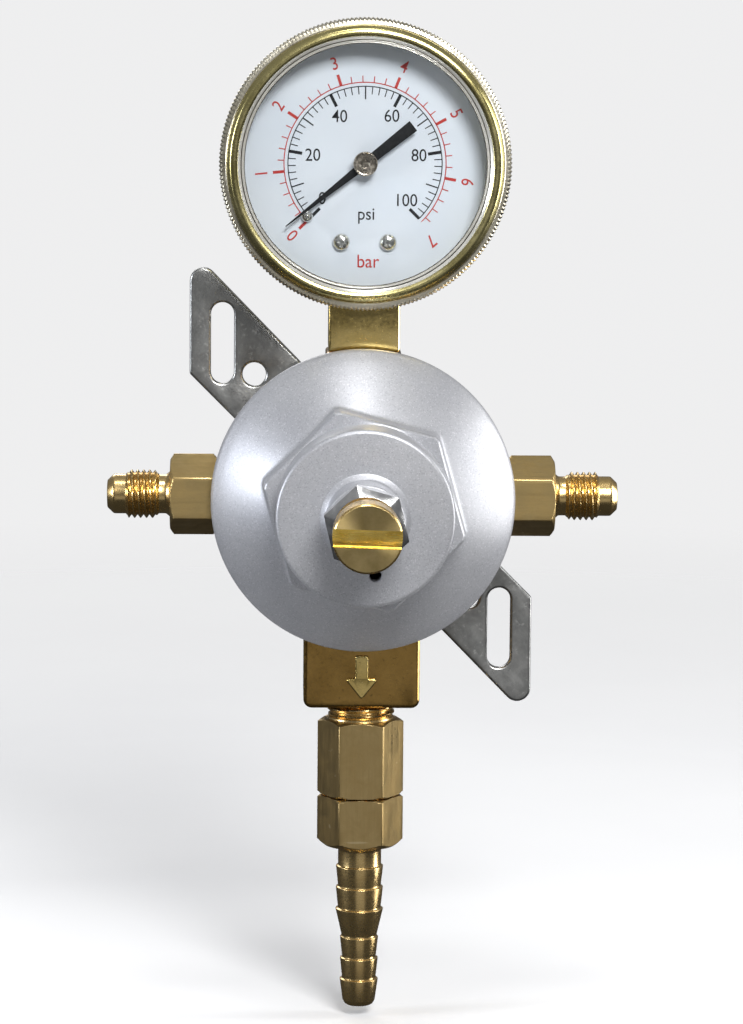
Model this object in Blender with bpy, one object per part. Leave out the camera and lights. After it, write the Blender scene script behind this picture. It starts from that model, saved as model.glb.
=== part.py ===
"""Wall-mounted secondary gas regulator: brass body with two flare inlets, a painted spring bonnet with a slotted
adjusting screw, a dial gauge on top, a check valve and stepped hose barb below, and a slotted wall bracket.

Frame: origin on the wall plane where the bonnet's axis meets it, +Z up, the bonnet points along -Y. Lengths below
are in millimetres and become metres in add(). "d" is the distance in front of the fitting axis, so y = -(FIT + d)."""

import math

import bmesh
import bpy
from mathutils import Vector

for stale in list(bpy.data.objects):
    bpy.data.objects.remove(stale, do_unlink=True)

MM = 0.001
GAP = 0.3  # clearance between touching pieces

# ---- layout
FIT = 16.0  # wall plane to the axis of the two inlet fittings
GZ = 67.2  # height of the gauge's axis above the bonnet's axis

# ---- bonnet
BONNET_R = 30.45
BONNET_BACK, BONNET_FRONT = 8.3, 37.3
SKIRT_BORE_R, SHOULDER_D = 26.3, 12.4
BONNET_HEX_AF, BONNET_HEX_CORNER_R, BONNET_HEX_FRONT = 36.0, 20.45, 27.2
BONNET_HEX_TURN = 105.5 - 30.0  # direction of one flat's normal, degrees from +X
BONNET_CYL_R = 17.5
BOSS_R, BOSS_FRONT, BOSS_BORE_R = 7.7, 45.5, 5.0
CAVITY_R = 13.0
VENT_X, VENT_Z, VENT_R = 2.05, -11.0, 1.15

# ---- adjusting screw, lock nut, spring
SCREW_R, SCREW_TIP, SCREW_HEAD_R = 4.7, 31.3, 6.67
SCREW_HEAD_BACK, SCREW_HEAD_FRONT = 58.0, 65.0
SLOT_W, SLOT_DEPTH, SLOT_TILT = 3.5, 3.0, -1.75
NUT_AF, NUT_BACK, NUT_FRONT, NUT_TURN = 14.8, 46.8, 51.5, 73.3
SPRING_MEAN_R, SPRING_WIRE_R, SPRING_TURNS = 8.5, 1.1, 4.0
BUTTON_R = 10.5

# ---- valve body
BODY_BACK = -11.2
BARREL_R, FLANGE_R, FLANGE_BACK, FLANGE_FRONT = 20.0, 28.0, 3.5, 8.0
RIM_R, RIM_BORE_R, RIM_FRONT = 26.0, 22.0, 9.5
CHAMBER_FLOOR = 4.3
BLOCK_HALF_W, BLOCK_FRONT, BLOCK_BACK, BLOCK_BOTTOM = 11.7, 7.9, -9.5, -42.4
TOP_HALF_W, TOP_Z = 7.6, 29.3
SIDE_BOSS_R, SIDE_BOSS_X = 7.8, 29.0
PORT_R, NIPPLE_BORE_R, GAUGE_PORT_R = 6.6, 7.05, 5.2
VALVE_BORE_R = 7.5

# ---- inlet fittings
HEX_X0, HEX_X1, FIT_HEX_AF = 29.3, 38.8, 14.3
FIT_NECK_R, FIT_THREAD_R, FIT_NOSE_R, FIT_TIP_R, FIT_TIP_X = 3.95, 4.9, 4.0, 2.7, 51.45
FIT_BORE_R = 1.6

# ---- outlet: check valve and hose barb
OUT_HEX_AF = 15.2
CHECK_HEX_TOP, CHECK_HEX_BOTTOM = -45.6, -61.2
NIPPLE_R = 6.75
BARB_HEX_BOTTOM = -71.8
BARB_TIP_Z, BARB_BORE_R = -105.2, 1.6

# ---- wall bracket
PLATE_T = 2.0
STEP = 2.5  # how far the centre stands off the wall
BEND_IN, BEND_OUT = 24.4, 27.4  # the two bend lines, measured along the strip
EDGE_A, EDGE_B = 9.5, 8.7  # half widths of the strip on its two sides
EAR_X, EAR_TOP_R = 35.25, 2.75
SLOT_CX, SLOT_CZ, SLOT_HALF_W, SLOT_HALF_L = 28.55, 29.3, 2.35, 8.3
EAR_HOLE_X, EAR_HOLE_Z, EAR_HOLE_R = 22.04, 22.9, 2.4
BRACKET_SCREW = 9.9

# ---- gauge
CASE_R, CASE_BACK, CASE_FRONT = 27.0, -12.5, 8.8
BEZEL_R = 29.05
DIAL_R, DIAL_BACK, DIAL_FRONT = 25.5, 4.9, 5.5
POINTER_L, TAIL_L, POINTER_ANGLE = 20.2, 12.1, 218.6
PIN_R, PIN_ANGLE = 15.65, 222.6
DIAL_SCREW_X, DIAL_SCREW_Z = 4.66, -15.7
MODULE, PINION_TEETH, SECTOR_TEETH = 0.3, 10, 90
SECTOR_X, SECTOR_Z = 9.0, -12.0
TAIL_ARM, TAIL_ANGLE = 5.5, -20.0
TIP_X, TIP_Z = 15.6, -7.2
TUBE_R = 19.5


def rad(a):
    return math.radians(a)


def along_y(x0=0.0, z0=0.0):
    """Polar map for a piece whose axis runs towards the viewer; h is the distance d."""
    return lambda r, t, h: (x0 + r * math.cos(t), -(FIT + h), z0 + r * math.sin(t))


def along_z(x0=0.0, d0=0.0):
    return lambda r, t, h: (x0 + r * math.cos(t), -(FIT + d0) + r * math.sin(t), h)


def along_x(d0=0.0, z0=0.0):
    return lambda r, t, h: (h, -(FIT + d0) + r * math.cos(t), z0 + r * math.sin(t))


def add(name, verts, faces, look=None, origin=(0.0, 0.0, 0.0), angle=30.0):
    """A named mesh object from points in millimetres, its origin at the given point."""
    mesh = bpy.data.meshes.new(name)
    o = Vector(origin)
    mesh.from_pydata([((Vector(v) - o) * MM)[:] for v in verts], [], faces)
    bm = bmesh.new()
    bm.from_mesh(mesh)
    bmesh.ops.recalc_face_normals(bm, faces=bm.faces)
    if bm.calc_volume(signed=True) < 0:
        bmesh.ops.reverse_faces(bm, faces=bm.faces)
    bm.to_mesh(mesh)
    bm.free()
    obj = bpy.data.objects.new(name, mesh)
    obj.location = o * MM
    bpy.context.scene.collection.objects.link(obj)
    if look:
        colour, metallic, roughness = look
        m = bpy.data.materials.new(name + "_mat")
        m.use_nodes = True
        bsdf = m.node_tree.nodes["Principled BSDF"]
        bsdf.inputs["Base Color"].default_value = (*colour, 1.0)
        bsdf.inputs["Metallic"].default_value = metallic
        bsdf.inputs["Roughness"].default_value = roughness
        mesh.materials.append(m)
    mesh.shade_smooth()
    mesh.set_sharp_from_angle(angle=rad(angle))
    return obj


def radius(station, t, turn):
    """A station is (r, h) for a round ring or (r, h, across_flats) for a hexagon whose corners are turned to r."""
    if len(station) == 2:
        return station[0]
    off = (math.degrees(t) - turn + 30.0) % 60.0 - 30.0
    return min(station[0], station[2] / 2.0 / math.cos(rad(off)))


def lathe(name, path, n, place, look=None, origin=(0, 0, 0), closed=False, turn=0.0):
    """Rings joined along a path. An open path starts and ends on the axis; a closed one goes round a through bore."""
    verts, rings = [], []
    for s in path:
        if s[0] < 1e-9:
            rings.append([len(verts)])
            verts.append(place(0.0, 0.0, s[1]))
            continue
        ring = []
        for i in range(n):
            t = rad(turn) + 2 * math.pi * i / n
            ring.append(len(verts))
            verts.append(place(radius(s, t, turn), t, s[1]))
        rings.append(ring)
    faces = []
    pairs = list(zip(rings, rings[1:])) + ([(rings[-1], rings[0])] if closed else [])
    for a, b in pairs:
        for i in range(n):
            j = (i + 1) % n
            if len(a) == 1 and len(b) == 1:
                continue
            if len(a) == 1:
                faces.append((a[0], b[i], b[j]))
            elif len(b) == 1:
                faces.append((a[i], b[0], a[j]))
            else:
                faces.append((a[i], b[i], b[j], a[j]))
    return add(name, verts, faces, look, origin)


def box(name, lo, hi, look=None, chamfer=0.0):
    """A box between two corners; its four vertical edges may be chamfered."""
    (x0, y0, z0), (x1, y1, z1) = lo, hi
    c = chamfer
    if c:
        loop = [(x0 + c, y0), (x1 - c, y0), (x1, y0 + c), (x1, y1 - c), (x1 - c, y1), (x0 + c, y1), (x0, y1 - c), (x0, y0 + c)]
    else:
        loop = [(x0, y0), (x1, y0), (x1, y1), (x0, y1)]
    n = len(loop)
    verts = [(x, y, z0) for x, y in loop] + [(x, y, z1) for x, y in loop]
    faces = [tuple(range(n)), tuple(range(n, 2 * n))]
    faces += [(i, (i + 1) % n, n + (i + 1) % n, n + i) for i in range(n)]
    return add(name, verts, faces, look)


def circle(cx, cz, r, n, start=0.0):
    return [
        (cx + r * math.cos(rad(start) + 2 * math.pi * i / n), cz + r * math.sin(rad(start) + 2 * math.pi * i / n))
        for i in range(n)
    ]


def plate(name, outline, holes, d0, d1, look=None, origin=(0, 0, 0), bend=None, lines=(), angle=30.0):
    """A flat plate facing the viewer between d0 and d1: an outline and holes as (x, z) loops.
    bend gives an extra y for each point, and lines are cuts across the strip where it changes."""
    bm = bmesh.new()
    for loop in [outline, *holes]:
        vs = [bm.verts.new((x, 0.0, z)) for x, z in loop]
        for i in range(len(vs)):
            bm.edges.new((vs[i], vs[(i + 1) % len(vs)]))
    bmesh.ops.triangle_fill(bm, use_beauty=True, use_dissolve=False, edges=bm.edges[:], normal=(0, -1, 0))
    for co, no in lines:
        bmesh.ops.bisect_plane(
            bm, geom=bm.verts[:] + bm.edges[:] + bm.faces[:], dist=1e-5, plane_co=co, plane_no=no
        )
    bmesh.ops.triangulate(bm, faces=bm.faces[:])
    bm.verts.index_update()
    flat = [(v.co.x, v.co.z) for v in bm.verts]
    n = len(flat)
    move = bend or (lambda x, z: 0.0)
    verts = [(x, -(FIT + d1) + move(x, z), z) for x, z in flat]
    verts += [(x, -(FIT + d0) + move(x, z), z) for x, z in flat]
    faces = []
    for f in bm.faces:
        ids = [v.index for v in f.verts]
        faces.append(tuple(ids))
        faces.append(tuple(i + n for i in reversed(ids)))
    for e in bm.edges:
        if len(e.link_faces) == 1:
            loop = e.link_loops[0]
            a, b = loop.vert.index, loop.link_loop_next.vert.index
            faces.append((b, a, a + n, b + n))
    bm.free()
    return add(name, verts, faces, look, origin, angle)


def coil(name, place, mean_r, wire_r, h0, h1, turns, per_turn, sides, look, origin=(0, 0, 0), start=0.0, grow=0.0):
    """A helical wire between two heights of its centre line; grow adds to its radius along its length."""
    count = int(round(turns * per_turn)) + 1
    centre = []
    for i in range(count):
        u = i / (count - 1)
        t = rad(start) + 2 * math.pi * turns * u
        centre.append(Vector(place(mean_r + grow * u, t, h0 + (h1 - h0) * u)))
    axis = (Vector(place(0, 0, 1.0)) - Vector(place(0, 0, 0.0))).normalized()
    verts, faces = [], []
    for i, c in enumerate(centre):
        ahead = centre[min(i + 1, count - 1)] - centre[max(i - 1, 0)]
        side = ahead.cross(axis).normalized()
        up = side.cross(ahead).normalized()
        for k in range(sides):
            a = 2 * math.pi * k / sides
            verts.append((c + side * (wire_r * math.cos(a)) + up * (wire_r * math.sin(a)))[:])
    for i in range(count - 1):
        for k in range(sides):
            j = (k + 1) % sides
            faces.append((i * sides + k, (i + 1) * sides + k, (i + 1) * sides + j, i * sides + j))
    faces.append(tuple(range(sides)))
    faces.append(tuple((count - 1) * sides + k for k in range(sides)))
    return add(name, verts, faces, look, origin)


def boolean(obj, other, operation="DIFFERENCE", solver="EXACT"):
    m = obj.modifiers.new(operation.lower() + "_" + other.name, "BOOLEAN")
    m.operation = operation
    m.solver = solver
    m.object = other
    other.hide_render = True
    other.display_type = "WIRE"
    return obj


# ---- looks
BRASS = ((0.72, 0.52, 0.24), 1.0, 0.3)
BRASS_DARK = ((0.55, 0.4, 0.2), 1.0, 0.4)
SILVER_PAINT = ((0.6, 0.61, 0.63), 0.4, 0.45)
CHROME = ((0.8, 0.8, 0.8), 1.0, 0.1)
STEEL = ((0.55, 0.55, 0.55), 1.0, 0.35)
ZINC = ((0.6, 0.61, 0.6), 1.0, 0.35)
ALUMINIUM = ((0.7, 0.7, 0.7), 1.0, 0.4)
RUBBER = ((0.03, 0.03, 0.03), 0.0, 0.7)
GOLD = ((0.7, 0.6, 0.3), 1.0, 0.25)
GLASS = ((0.9, 0.93, 0.95), 0.0, 0.05)
WHITE = ((0.85, 0.87, 0.9), 0.0, 0.5)
BLACK = ((0.02, 0.02, 0.02), 0.0, 0.5)

# ================================================================ valve body
Y = along_y()
body = lathe(
    "valve_body",
    [
        (0, BODY_BACK), (BARREL_R - 1, BODY_BACK), (BARREL_R, BODY_BACK + 1), (BARREL_R, FLANGE_BACK - 1.5),
        (FLANGE_R - 0.6, FLANGE_BACK), (FLANGE_R, FLANGE_BACK + 0.6), (FLANGE_R, FLANGE_FRONT), (RIM_R, FLANGE_FRONT),
        (RIM_R, RIM_FRONT), (0, RIM_FRONT),
    ],
    30, Y, BRASS,
)
boolean(body, box("guide_lower_block", (-BLOCK_HALF_W, -(FIT + BLOCK_FRONT), BLOCK_BOTTOM), (BLOCK_HALF_W, -(FIT + BLOCK_BACK), -12.0), chamfer=0.9), "UNION", "MANIFOLD")
boolean(body, box("guide_upper_block", (-TOP_HALF_W, -(FIT + 7.6), 12.0), (TOP_HALF_W, -(FIT - 7.6), TOP_Z), chamfer=0.6), "UNION", "MANIFOLD")
for side, s in (("left", -1), ("right", 1)):
    boolean(body, lathe(f"guide_boss_{side}", [(0, s * 8.0), (SIDE_BOSS_R, s * 8.0), (SIDE_BOSS_R, s * SIDE_BOSS_X), (0, s * SIDE_BOSS_X)], 20, along_x()), "UNION", "MANIFOLD")
boolean(body, lathe("cut_chamber", [(0, CHAMBER_FLOOR), (RIM_BORE_R, CHAMBER_FLOOR), (RIM_BORE_R, 12.0), (0, 12.0)], 30, Y), solver="MANIFOLD")
boolean(body, lathe("cut_valve_bore", [(0, BODY_BACK - 1), (VALVE_BORE_R, BODY_BACK - 1), (VALVE_BORE_R, 0.5), (4.3, 0.5), (4.3, 5.5), (0, 5.5)], 20, Y), solver="MANIFOLD")
for side, s in (("left", -1), ("right", 1)):
    boolean(body, lathe(f"cut_port_{side}", [(0, s * 6.8), (3.0, s * 6.8), (3.0, s * 19.7), (PORT_R, s * 19.7), (PORT_R, s * 31.0), (0, s * 31.0)], 18, along_x()), solver="MANIFOLD")
boolean(body, lathe("cut_outlet", [(0, -44.0), (NIPPLE_BORE_R, -44.0), (NIPPLE_BORE_R, -33.2), (2.5, -32.0), (2.5, -15.5), (0, -15.5)], 18, along_z()), solver="MANIFOLD")
boolean(body, lathe("cut_gauge_port", [(0, 31.0), (GAUGE_PORT_R, 31.0), (GAUGE_PORT_R, 19.6), (2.0, 18.6), (2.0, 15.5), (0, 15.5)], 16, along_z()), solver="MANIFOLD")
boolean(body, lathe("cut_outlet_way", [(0, 0.0), (2.2, 0.0), (2.2, 6.0), (0, 6.0)], 10, along_y(0.0, -18.2)), solver="MANIFOLD")
boolean(body, lathe("cut_gauge_way", [(0, 0.0), (1.8, 0.0), (1.8, 6.0), (0, 6.0)], 10, along_y(0.0, 17.8)), solver="MANIFOLD")
for k, s in enumerate((-1, 1)):
    boolean(body, lathe(f"cut_screw_{k + 1}", [(0, BODY_BACK - 1), (2.1, BODY_BACK - 1), (2.1, -5.5), (0, -5.0)], 12, along_y(s * BRACKET_SCREW, -s * BRACKET_SCREW)), solver="MANIFOLD")

# ================================================================ bonnet
bonnet = lathe(
    "bonnet",
    [
        (SKIRT_BORE_R, BONNET_BACK), (BONNET_R - 0.25, BONNET_BACK), (BONNET_R, BONNET_BACK + 0.3), (BONNET_R, 9.9),
        (30.1, 10.6), (27.8, 13.2), (23.6, 17.4), (BONNET_CYL_R, 22.3),
        (BONNET_CYL_R, 36.6), (BONNET_CYL_R - 0.7, BONNET_FRONT), (BOSS_R + 0.5, BONNET_FRONT), (BOSS_R, BONNET_FRONT + 0.5),
        (BOSS_R, BOSS_FRONT - 0.4), (BOSS_R - 0.4, BOSS_FRONT), (BOSS_BORE_R, BOSS_FRONT), (BOSS_BORE_R, 34.8),
        (CAVITY_R, 34.8), (CAVITY_R, 22.0), (21.0, 14.0), (21.0, SHOULDER_D), (SKIRT_BORE_R, SHOULDER_D),
    ],
    32, Y, SILVER_PAINT, closed=True,
)
hexagon = lathe(
    "guide_bonnet_hexagon",
    [
        (15.0, 17.0), (BONNET_HEX_CORNER_R, 17.0, BONNET_HEX_AF), (BONNET_HEX_CORNER_R, BONNET_HEX_FRONT - 0.8, BONNET_HEX_AF),
        (BONNET_HEX_CORNER_R - 0.8, BONNET_HEX_FRONT, BONNET_HEX_AF - 0.6), (15.0, BONNET_HEX_FRONT),
    ],
    24, Y, closed=True, turn=BONNET_HEX_TURN,
)
boolean(bonnet, hexagon, "UNION")
boolean(bonnet, lathe("cut_vent", [(0, 34.0), (VENT_R, 34.0), (VENT_R, 38.0), (0, 38.0)], 12, along_y(VENT_X, VENT_Z)))

# ================================================================ diaphragm and spring pack
lathe("diaphragm", [(2.3, 9.8), (26.0, 9.8), (26.0, 11.0), (2.3, 11.0)], 26, Y, RUBBER, closed=True)
lathe("slip_ring", [(21.5, 11.3), (26.0, 11.3), (26.0, 12.1), (21.5, 12.1)], 26, Y, STEEL, closed=True)
lathe("diaphragm_plate", [(2.3, 11.3), (15.0, 11.3), (15.0, 12.8), (6.2, 12.8), (6.2, 15.5), (2.3, 15.5)], 24, Y, ALUMINIUM, closed=True)
lathe(
    "diaphragm_pusher",
    [(0, -1.6), (1.0, -1.6), (1.0, 7.2), (2.5, 8.0), (10.0, 8.0), (10.0, 9.5), (2.0, 9.5), (2.0, 14.9), (0, 14.9)],
    18, Y, BRASS_DARK,
)
coil("range_spring", Y, SPRING_MEAN_R, SPRING_WIRE_R, 14.2, 27.8, SPRING_TURNS, 12, 6, STEEL)
lathe("spring_button", [(0, 26.8), (6.2, 26.8), (6.2, 29.2), (BUTTON_R, 29.2), (BUTTON_R, 31.0), (0, 31.0)], 22, Y, STEEL)

screw = lathe(
    "adjusting_screw",
    [
        (0, SCREW_TIP), (3.6, SCREW_TIP), (SCREW_R, SCREW_TIP + 1.1), (SCREW_R, SCREW_HEAD_BACK), (SCREW_HEAD_R - 0.3, SCREW_HEAD_BACK),
        (SCREW_HEAD_R, SCREW_HEAD_BACK + 0.3), (SCREW_HEAD_R, SCREW_HEAD_FRONT - 0.35), (SCREW_HEAD_R - 0.35, SCREW_HEAD_FRONT), (0, SCREW_HEAD_FRONT),
    ],
    28, Y, BRASS,
)
cos_t, sin_t = math.cos(rad(SLOT_TILT)), math.sin(rad(SLOT_TILT))
slot_loop = [(x * cos_t - z * sin_t, x * sin_t + z * cos_t) for x, z in ((-9, -SLOT_W / 2), (9, -SLOT_W / 2), (9, SLOT_W / 2), (-9, SLOT_W / 2))]
boolean(screw, plate("cut_driver_slot", slot_loop, [], SCREW_HEAD_FRONT - SLOT_DEPTH, SCREW_HEAD_FRONT + 2))
lathe(
    "lock_nut",
    [
        (5.0, NUT_BACK), (7.3, NUT_BACK), (8.6, NUT_BACK + 0.6, NUT_AF), (8.6, NUT_FRONT - 0.7, NUT_AF),
        (7.35, NUT_FRONT), (5.5, NUT_FRONT), (5.0, NUT_FRONT - 0.5),
    ],
    24, Y, CHROME, closed=True, turn=NUT_TURN,
)
lathe("lock_washer", [(5.0, 45.8), (7.0, 45.8), (7.0, 46.5), (5.0, 46.5)], 20, Y, STEEL, closed=True)

# ================================================================ inlet valve
lathe("valve_seat", [(1.6, 4.0), (4.0, 4.0), (4.0, 0.1), (6.5, 0.1), (6.5, -0.9), (2.7, -0.9), (2.2, -1.6), (1.6, -1.6)], 18, Y, BRASS, closed=True)
lathe("poppet", [(0, -1.9), (3.8, -1.9), (4.0, -2.1), (4.0, -4.0), (1.4, -4.0), (1.4, -9.0), (1.2, -9.2), (0, -9.2)], 14, Y, BRASS_DARK)
coil("poppet_spring", Y, 2.7, 0.3, -4.6, -8.0, 4.0, 10, 5, STEEL)
cap = lathe(
    "valve_cap",
    [
        (0, -10.9), (1.8, -10.9), (1.8, -8.6), (7.0, -8.6), (7.2, -8.8), (7.2, -9.4), (6.2, -9.4), (6.2, -10.8), (7.2, -10.8),
        (7.2, -12.9), (6.9, -13.2), (0, -13.2),
    ],
    20, Y, BRASS,
)
boolean(cap, box("cut_cap_slot", (-9.0, -(FIT - 12.4), -0.8), (9.0, -(FIT - 14.0), 0.8)))
lathe("valve_cap_oring", [(6.85 + 0.52 * math.cos(rad(a)), -10.1 + 0.52 * math.sin(rad(a))) for a in range(0, 360, 60)], 18, Y, RUBBER, closed=True)

# ================================================================ inlet fittings
for side, s in (("left", -1.0), ("right", 1.0)):
    x1 = HEX_X1
    outer = [
        (5.8, 20.2), (6.3, 20.9), (6.3, 28.9), (7.3, HEX_X0), (8.26, HEX_X0 + 0.7, FIT_HEX_AF), (8.26, x1 - 0.9, FIT_HEX_AF), (6.9, x1),
        (FIT_NECK_R, x1 + 0.1), (FIT_NECK_R, 41.1),
    ]
    for k in range(4):  # thread crests as rings
        outer += [(4.35, 41.35 + 1.5 * k), (FIT_THREAD_R, 42.1 + 1.5 * k)]
    outer += [(4.35, 47.35), (FIT_NOSE_R, 47.5), (FIT_NOSE_R, 50.1), (FIT_TIP_R, FIT_TIP_X), (FIT_BORE_R, FIT_TIP_X), (FIT_BORE_R, 27.0), (3.6, 26.0), (3.6, 20.2)]
    lathe(f"inlet_fitting_{side}", [(p[0], s * p[1], *p[2:]) for p in outer], 24, along_x(), BRASS, closed=True, turn=180.0)
    screen = [(2.7, 20.6), (3.3, 20.6), (3.3, 25.4), (0, 25.4), (0, 24.8), (2.7, 24.8)]
    lathe(
        f"inlet_screen_{side}",
        [(0, s * 25.4), (3.3, s * 25.4), (3.3, s * 20.6), (2.7, s * 20.6), (2.7, s * 24.8), (0, s * 24.8)],
        14, along_x(), STEEL,
    )

# ================================================================ outlet: check valve and hose barb
Z = along_z()
H = OUT_HEX_AF
lathe(
    "check_valve_body",
    [
        (6.0, -33.7), (NIPPLE_R, -34.4), (NIPPLE_R, -43.0), (6.35, -43.4), (NIPPLE_R, -43.8), (6.95, -44.4), (6.6, -45.4),
        (7.3, CHECK_HEX_TOP), (8.8, CHECK_HEX_TOP - 0.7, H), (8.8, CHECK_HEX_BOTTOM + 0.5, H), (8.0, CHECK_HEX_BOTTOM, H - 0.6),
        (5.3, CHECK_HEX_BOTTOM), (5.3, -54.4), (2.2, -54.4), (2.2, -53.4), (3.5, -52.4), (3.5, -33.7),
    ],
    24, Z, BRASS, closed=True, turn=-90.0,
)
lathe("check_valve_seal", [(1.1, -54.7), (3.4, -54.7), (3.4, -55.5), (1.1, -55.5)], 16, Z, RUBBER, closed=True)
lathe("check_valve_poppet", [(0, -54.9), (0.8, -54.9), (0.8, -55.8), (3.6, -55.8), (3.6, -56.6), (0.9, -56.6), (0.9, -58.7), (0, -58.7)], 16, Z, BRASS_DARK)
coil("check_valve_spring", Z, 2.6, 0.22, -57.1, -59.1, 2.0, 12, 5, STEEL)
ridges = ((-76.2, 4.82), (-80.6, 4.82), (-85.1, 4.88), (-91.0, 3.9), (-95.4, 3.88), (-99.8, 3.92))
barb = [(BARB_BORE_R, -59.6), (4.7, -59.6), (5.0, -59.9), (5.0, -61.5), (8.0, -61.5, H - 0.6), (8.8, -62.0, H), (8.8, BARB_HEX_BOTTOM + 1.3, H), (7.2, BARB_HEX_BOTTOM), (4.9, BARB_HEX_BOTTOM - 0.1), (4.4, BARB_HEX_BOTTOM - 0.8)]
for k, (z, r) in enumerate(ridges):
    after = ridges[k + 1][0] if k + 1 < len(ridges) else BARB_TIP_Z + 1.0
    low = {2: 3.62, 5: 3.3}.get(k, r - 0.34)
    barb += [(r, z), (low, after + 0.12 if k + 1 < len(ridges) else after)]
barb += [(2.95, BARB_TIP_Z + 0.3), (2.5, BARB_TIP_Z), (BARB_BORE_R, BARB_TIP_Z)]
clean = [barb[0]]
for p in barb[1:]:
    if abs(p[0] - clean[-1][0]) + abs(p[1] - clean[-1][1]) > 1e-6:
        clean.append(p)
lathe("hose_barb", clean, 24, Z, BRASS, closed=True, turn=-90.0)

# ================================================================ wall bracket
R2 = math.sqrt(2.0)


def strip(s, t):
    """A point on the bracket from its distance along the strip and across it."""
    return ((s + t) / R2, (t - s) / R2)


cx, cz = -EAR_X + EAR_TOP_R, 0.0
cz = (EDGE_A - EAR_TOP_R) * R2 - cx
ear = [(cx + EAR_TOP_R * math.cos(rad(a)), cz + EAR_TOP_R * math.sin(rad(a))) for a in (45, 67, 90, 112, 135, 157, 180)]
foot = (-EAR_X, -EDGE_B * R2 + EAR_X)
ear += [(foot[0], foot[1] + 0.7), (foot[0] + 0.25, foot[1] + 0.15), (foot[0] + 0.75, foot[1] - 0.75)]
ear += [strip(-12.0, -EDGE_B)]
half = ear
outline = half + [(-x, -z) for x, z in half]
capsule = [(SLOT_HALF_W * math.cos(rad(a)), SLOT_HALF_L - SLOT_HALF_W + SLOT_HALF_W * math.sin(rad(a))) for a in range(0, 181, 20)]
capsule += [(-x, -z) for x, z in capsule]
holes = []
for s in (1, -1):
    holes.append([(-s * SLOT_CX + x, s * SLOT_CZ + z) for x, z in capsule])
    holes.append(circle(-s * EAR_HOLE_X, s * EAR_HOLE_Z, EAR_HOLE_R, 20))
    holes.append(circle(-s * BRACKET_SCREW, s * BRACKET_SCREW, 2.15, 16))
holes.append(circle(0, 0, 8.4, 28))


def bracket_bend(x, z):
    s = abs((x - z) / R2)
    return -STEP * min(1.0, max(0.0, (BEND_OUT - s) / (BEND_OUT - BEND_IN)))


cuts = []
for s in (-BEND_OUT, -BEND_IN, BEND_IN, BEND_OUT):
    px, pz = strip(s, 0.0)
    cuts.append(((px, 0.0, pz), (1 / R2, 0.0, -1 / R2)))
plate("wall_bracket", outline, holes, -FIT, -FIT + PLATE_T, ZINC, bend=bracket_bend, lines=cuts)
for k, s in enumerate((-1, 1)):
    lathe(
        f"bracket_screw_{k + 1}",
        [(0, -6.2), (1.5, -6.2), (1.8, -6.6), (1.8, -13.8), (3.5, -13.8), (3.5, -14.5), (2.6, -15.3), (0, -15.5)],
        14, along_y(s * BRACKET_SCREW, -s * BRACKET_SCREW), STEEL,
    )

# ================================================================ gauge
G = along_y(0.0, GZ)
socket = box("gauge_socket", (-7.1, -(FIT + 7.1), TOP_Z + GAP), (7.1, -(FIT - 7.1), 41.0), BRASS, chamfer=0.5)
boolean(socket, box("guide_socket_top", (-7.1, -(FIT + 4.6), 40.0), (7.1, -(FIT - 7.1), 48.2), chamfer=0.5), "UNION")
boolean(socket, lathe("guide_socket_thread", [(0, 20.1), (4.4, 20.1), (4.9, 20.7), (4.9, 31.0), (0, 31.0)], 20, Z), "UNION")
boolean(socket, lathe("cut_socket_bore", [(0, 19.0), (1.8, 19.0), (1.8, 45.0), (0, 45.0)], 14, Z))
case = lathe(
    "gauge_case",
    [(0, CASE_BACK), (CASE_R - 1.2, CASE_BACK), (CASE_R, CASE_BACK + 1.2), (CASE_R, CASE_FRONT), (CASE_R - 1, CASE_FRONT), (CASE_R - 1, CASE_BACK + 0.9), (0, CASE_BACK + 0.9)],
    36, G, GOLD,
)
boolean(case, box("cut_case_mouth", (-7.45, -(FIT + 7.4), 37.0), (7.45, -(FIT - 7.4), 44.0)))
lathe(
    "gauge_bezel",
    [
        (27.3, 7.5), (BEZEL_R, 7.5), (BEZEL_R, 11.0), (27.5, 11.2), (26.9, 12.6),
        (26.0, 13.0), (25.1, 12.6), (24.8, 12.2), (23.9, 12.2), (23.9, 11.9), (27.3, 11.9),
    ],
    40, G, GOLD, closed=True,
)
lathe("gauge_gasket", [(24.4, 9.1), (26.8, 9.1), (26.8, 9.7), (24.4, 9.7)], 30, G, RUBBER, closed=True)
lathe("gauge_lens", [(0, 10.0), (26.8, 10.0), (26.8, 11.6), (0, 11.6)], 40, G, GLASS)


def rel(x, z):
    return (x, GZ + z)


pin = (PIN_R * math.cos(rad(PIN_ANGLE)), PIN_R * math.sin(rad(PIN_ANGLE)))
dial_holes = [circle(0, GZ, 1.6, 16), circle(pin[0], GZ + pin[1], 0.75, 10)]
dial_holes += [circle(s * DIAL_SCREW_X, GZ + DIAL_SCREW_Z, 1.15, 12) for s in (-1, 1)]
plate("gauge_dial", circle(0, GZ, DIAL_R, 40), dial_holes, DIAL_BACK, DIAL_FRONT, WHITE)
for side, s in (("left", -1), ("right", 1)):
    lathe(
        f"dial_screw_{side}",
        [(0, 3.5), (0.8, 3.5), (0.85, 3.7), (0.85, 5.8), (1.71, 5.8), (1.71, 6.1), (1.4, 6.6), (0.8, 6.9), (0, 7.0)],
        12, along_y(s * DIAL_SCREW_X, GZ + DIAL_SCREW_Z), STEEL,
    )
lathe(
    "dial_stop_pin",
    [(0, 4.6), (0.45, 4.6), (0.45, 5.8), (1.0, 5.8), (1.19, 6.1), (1.0, 6.5), (0.5, 6.7), (0.5, 7.7), (0, 7.9)],
    14, along_y(pin[0], GZ + pin[1]), STEEL,
)

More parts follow.
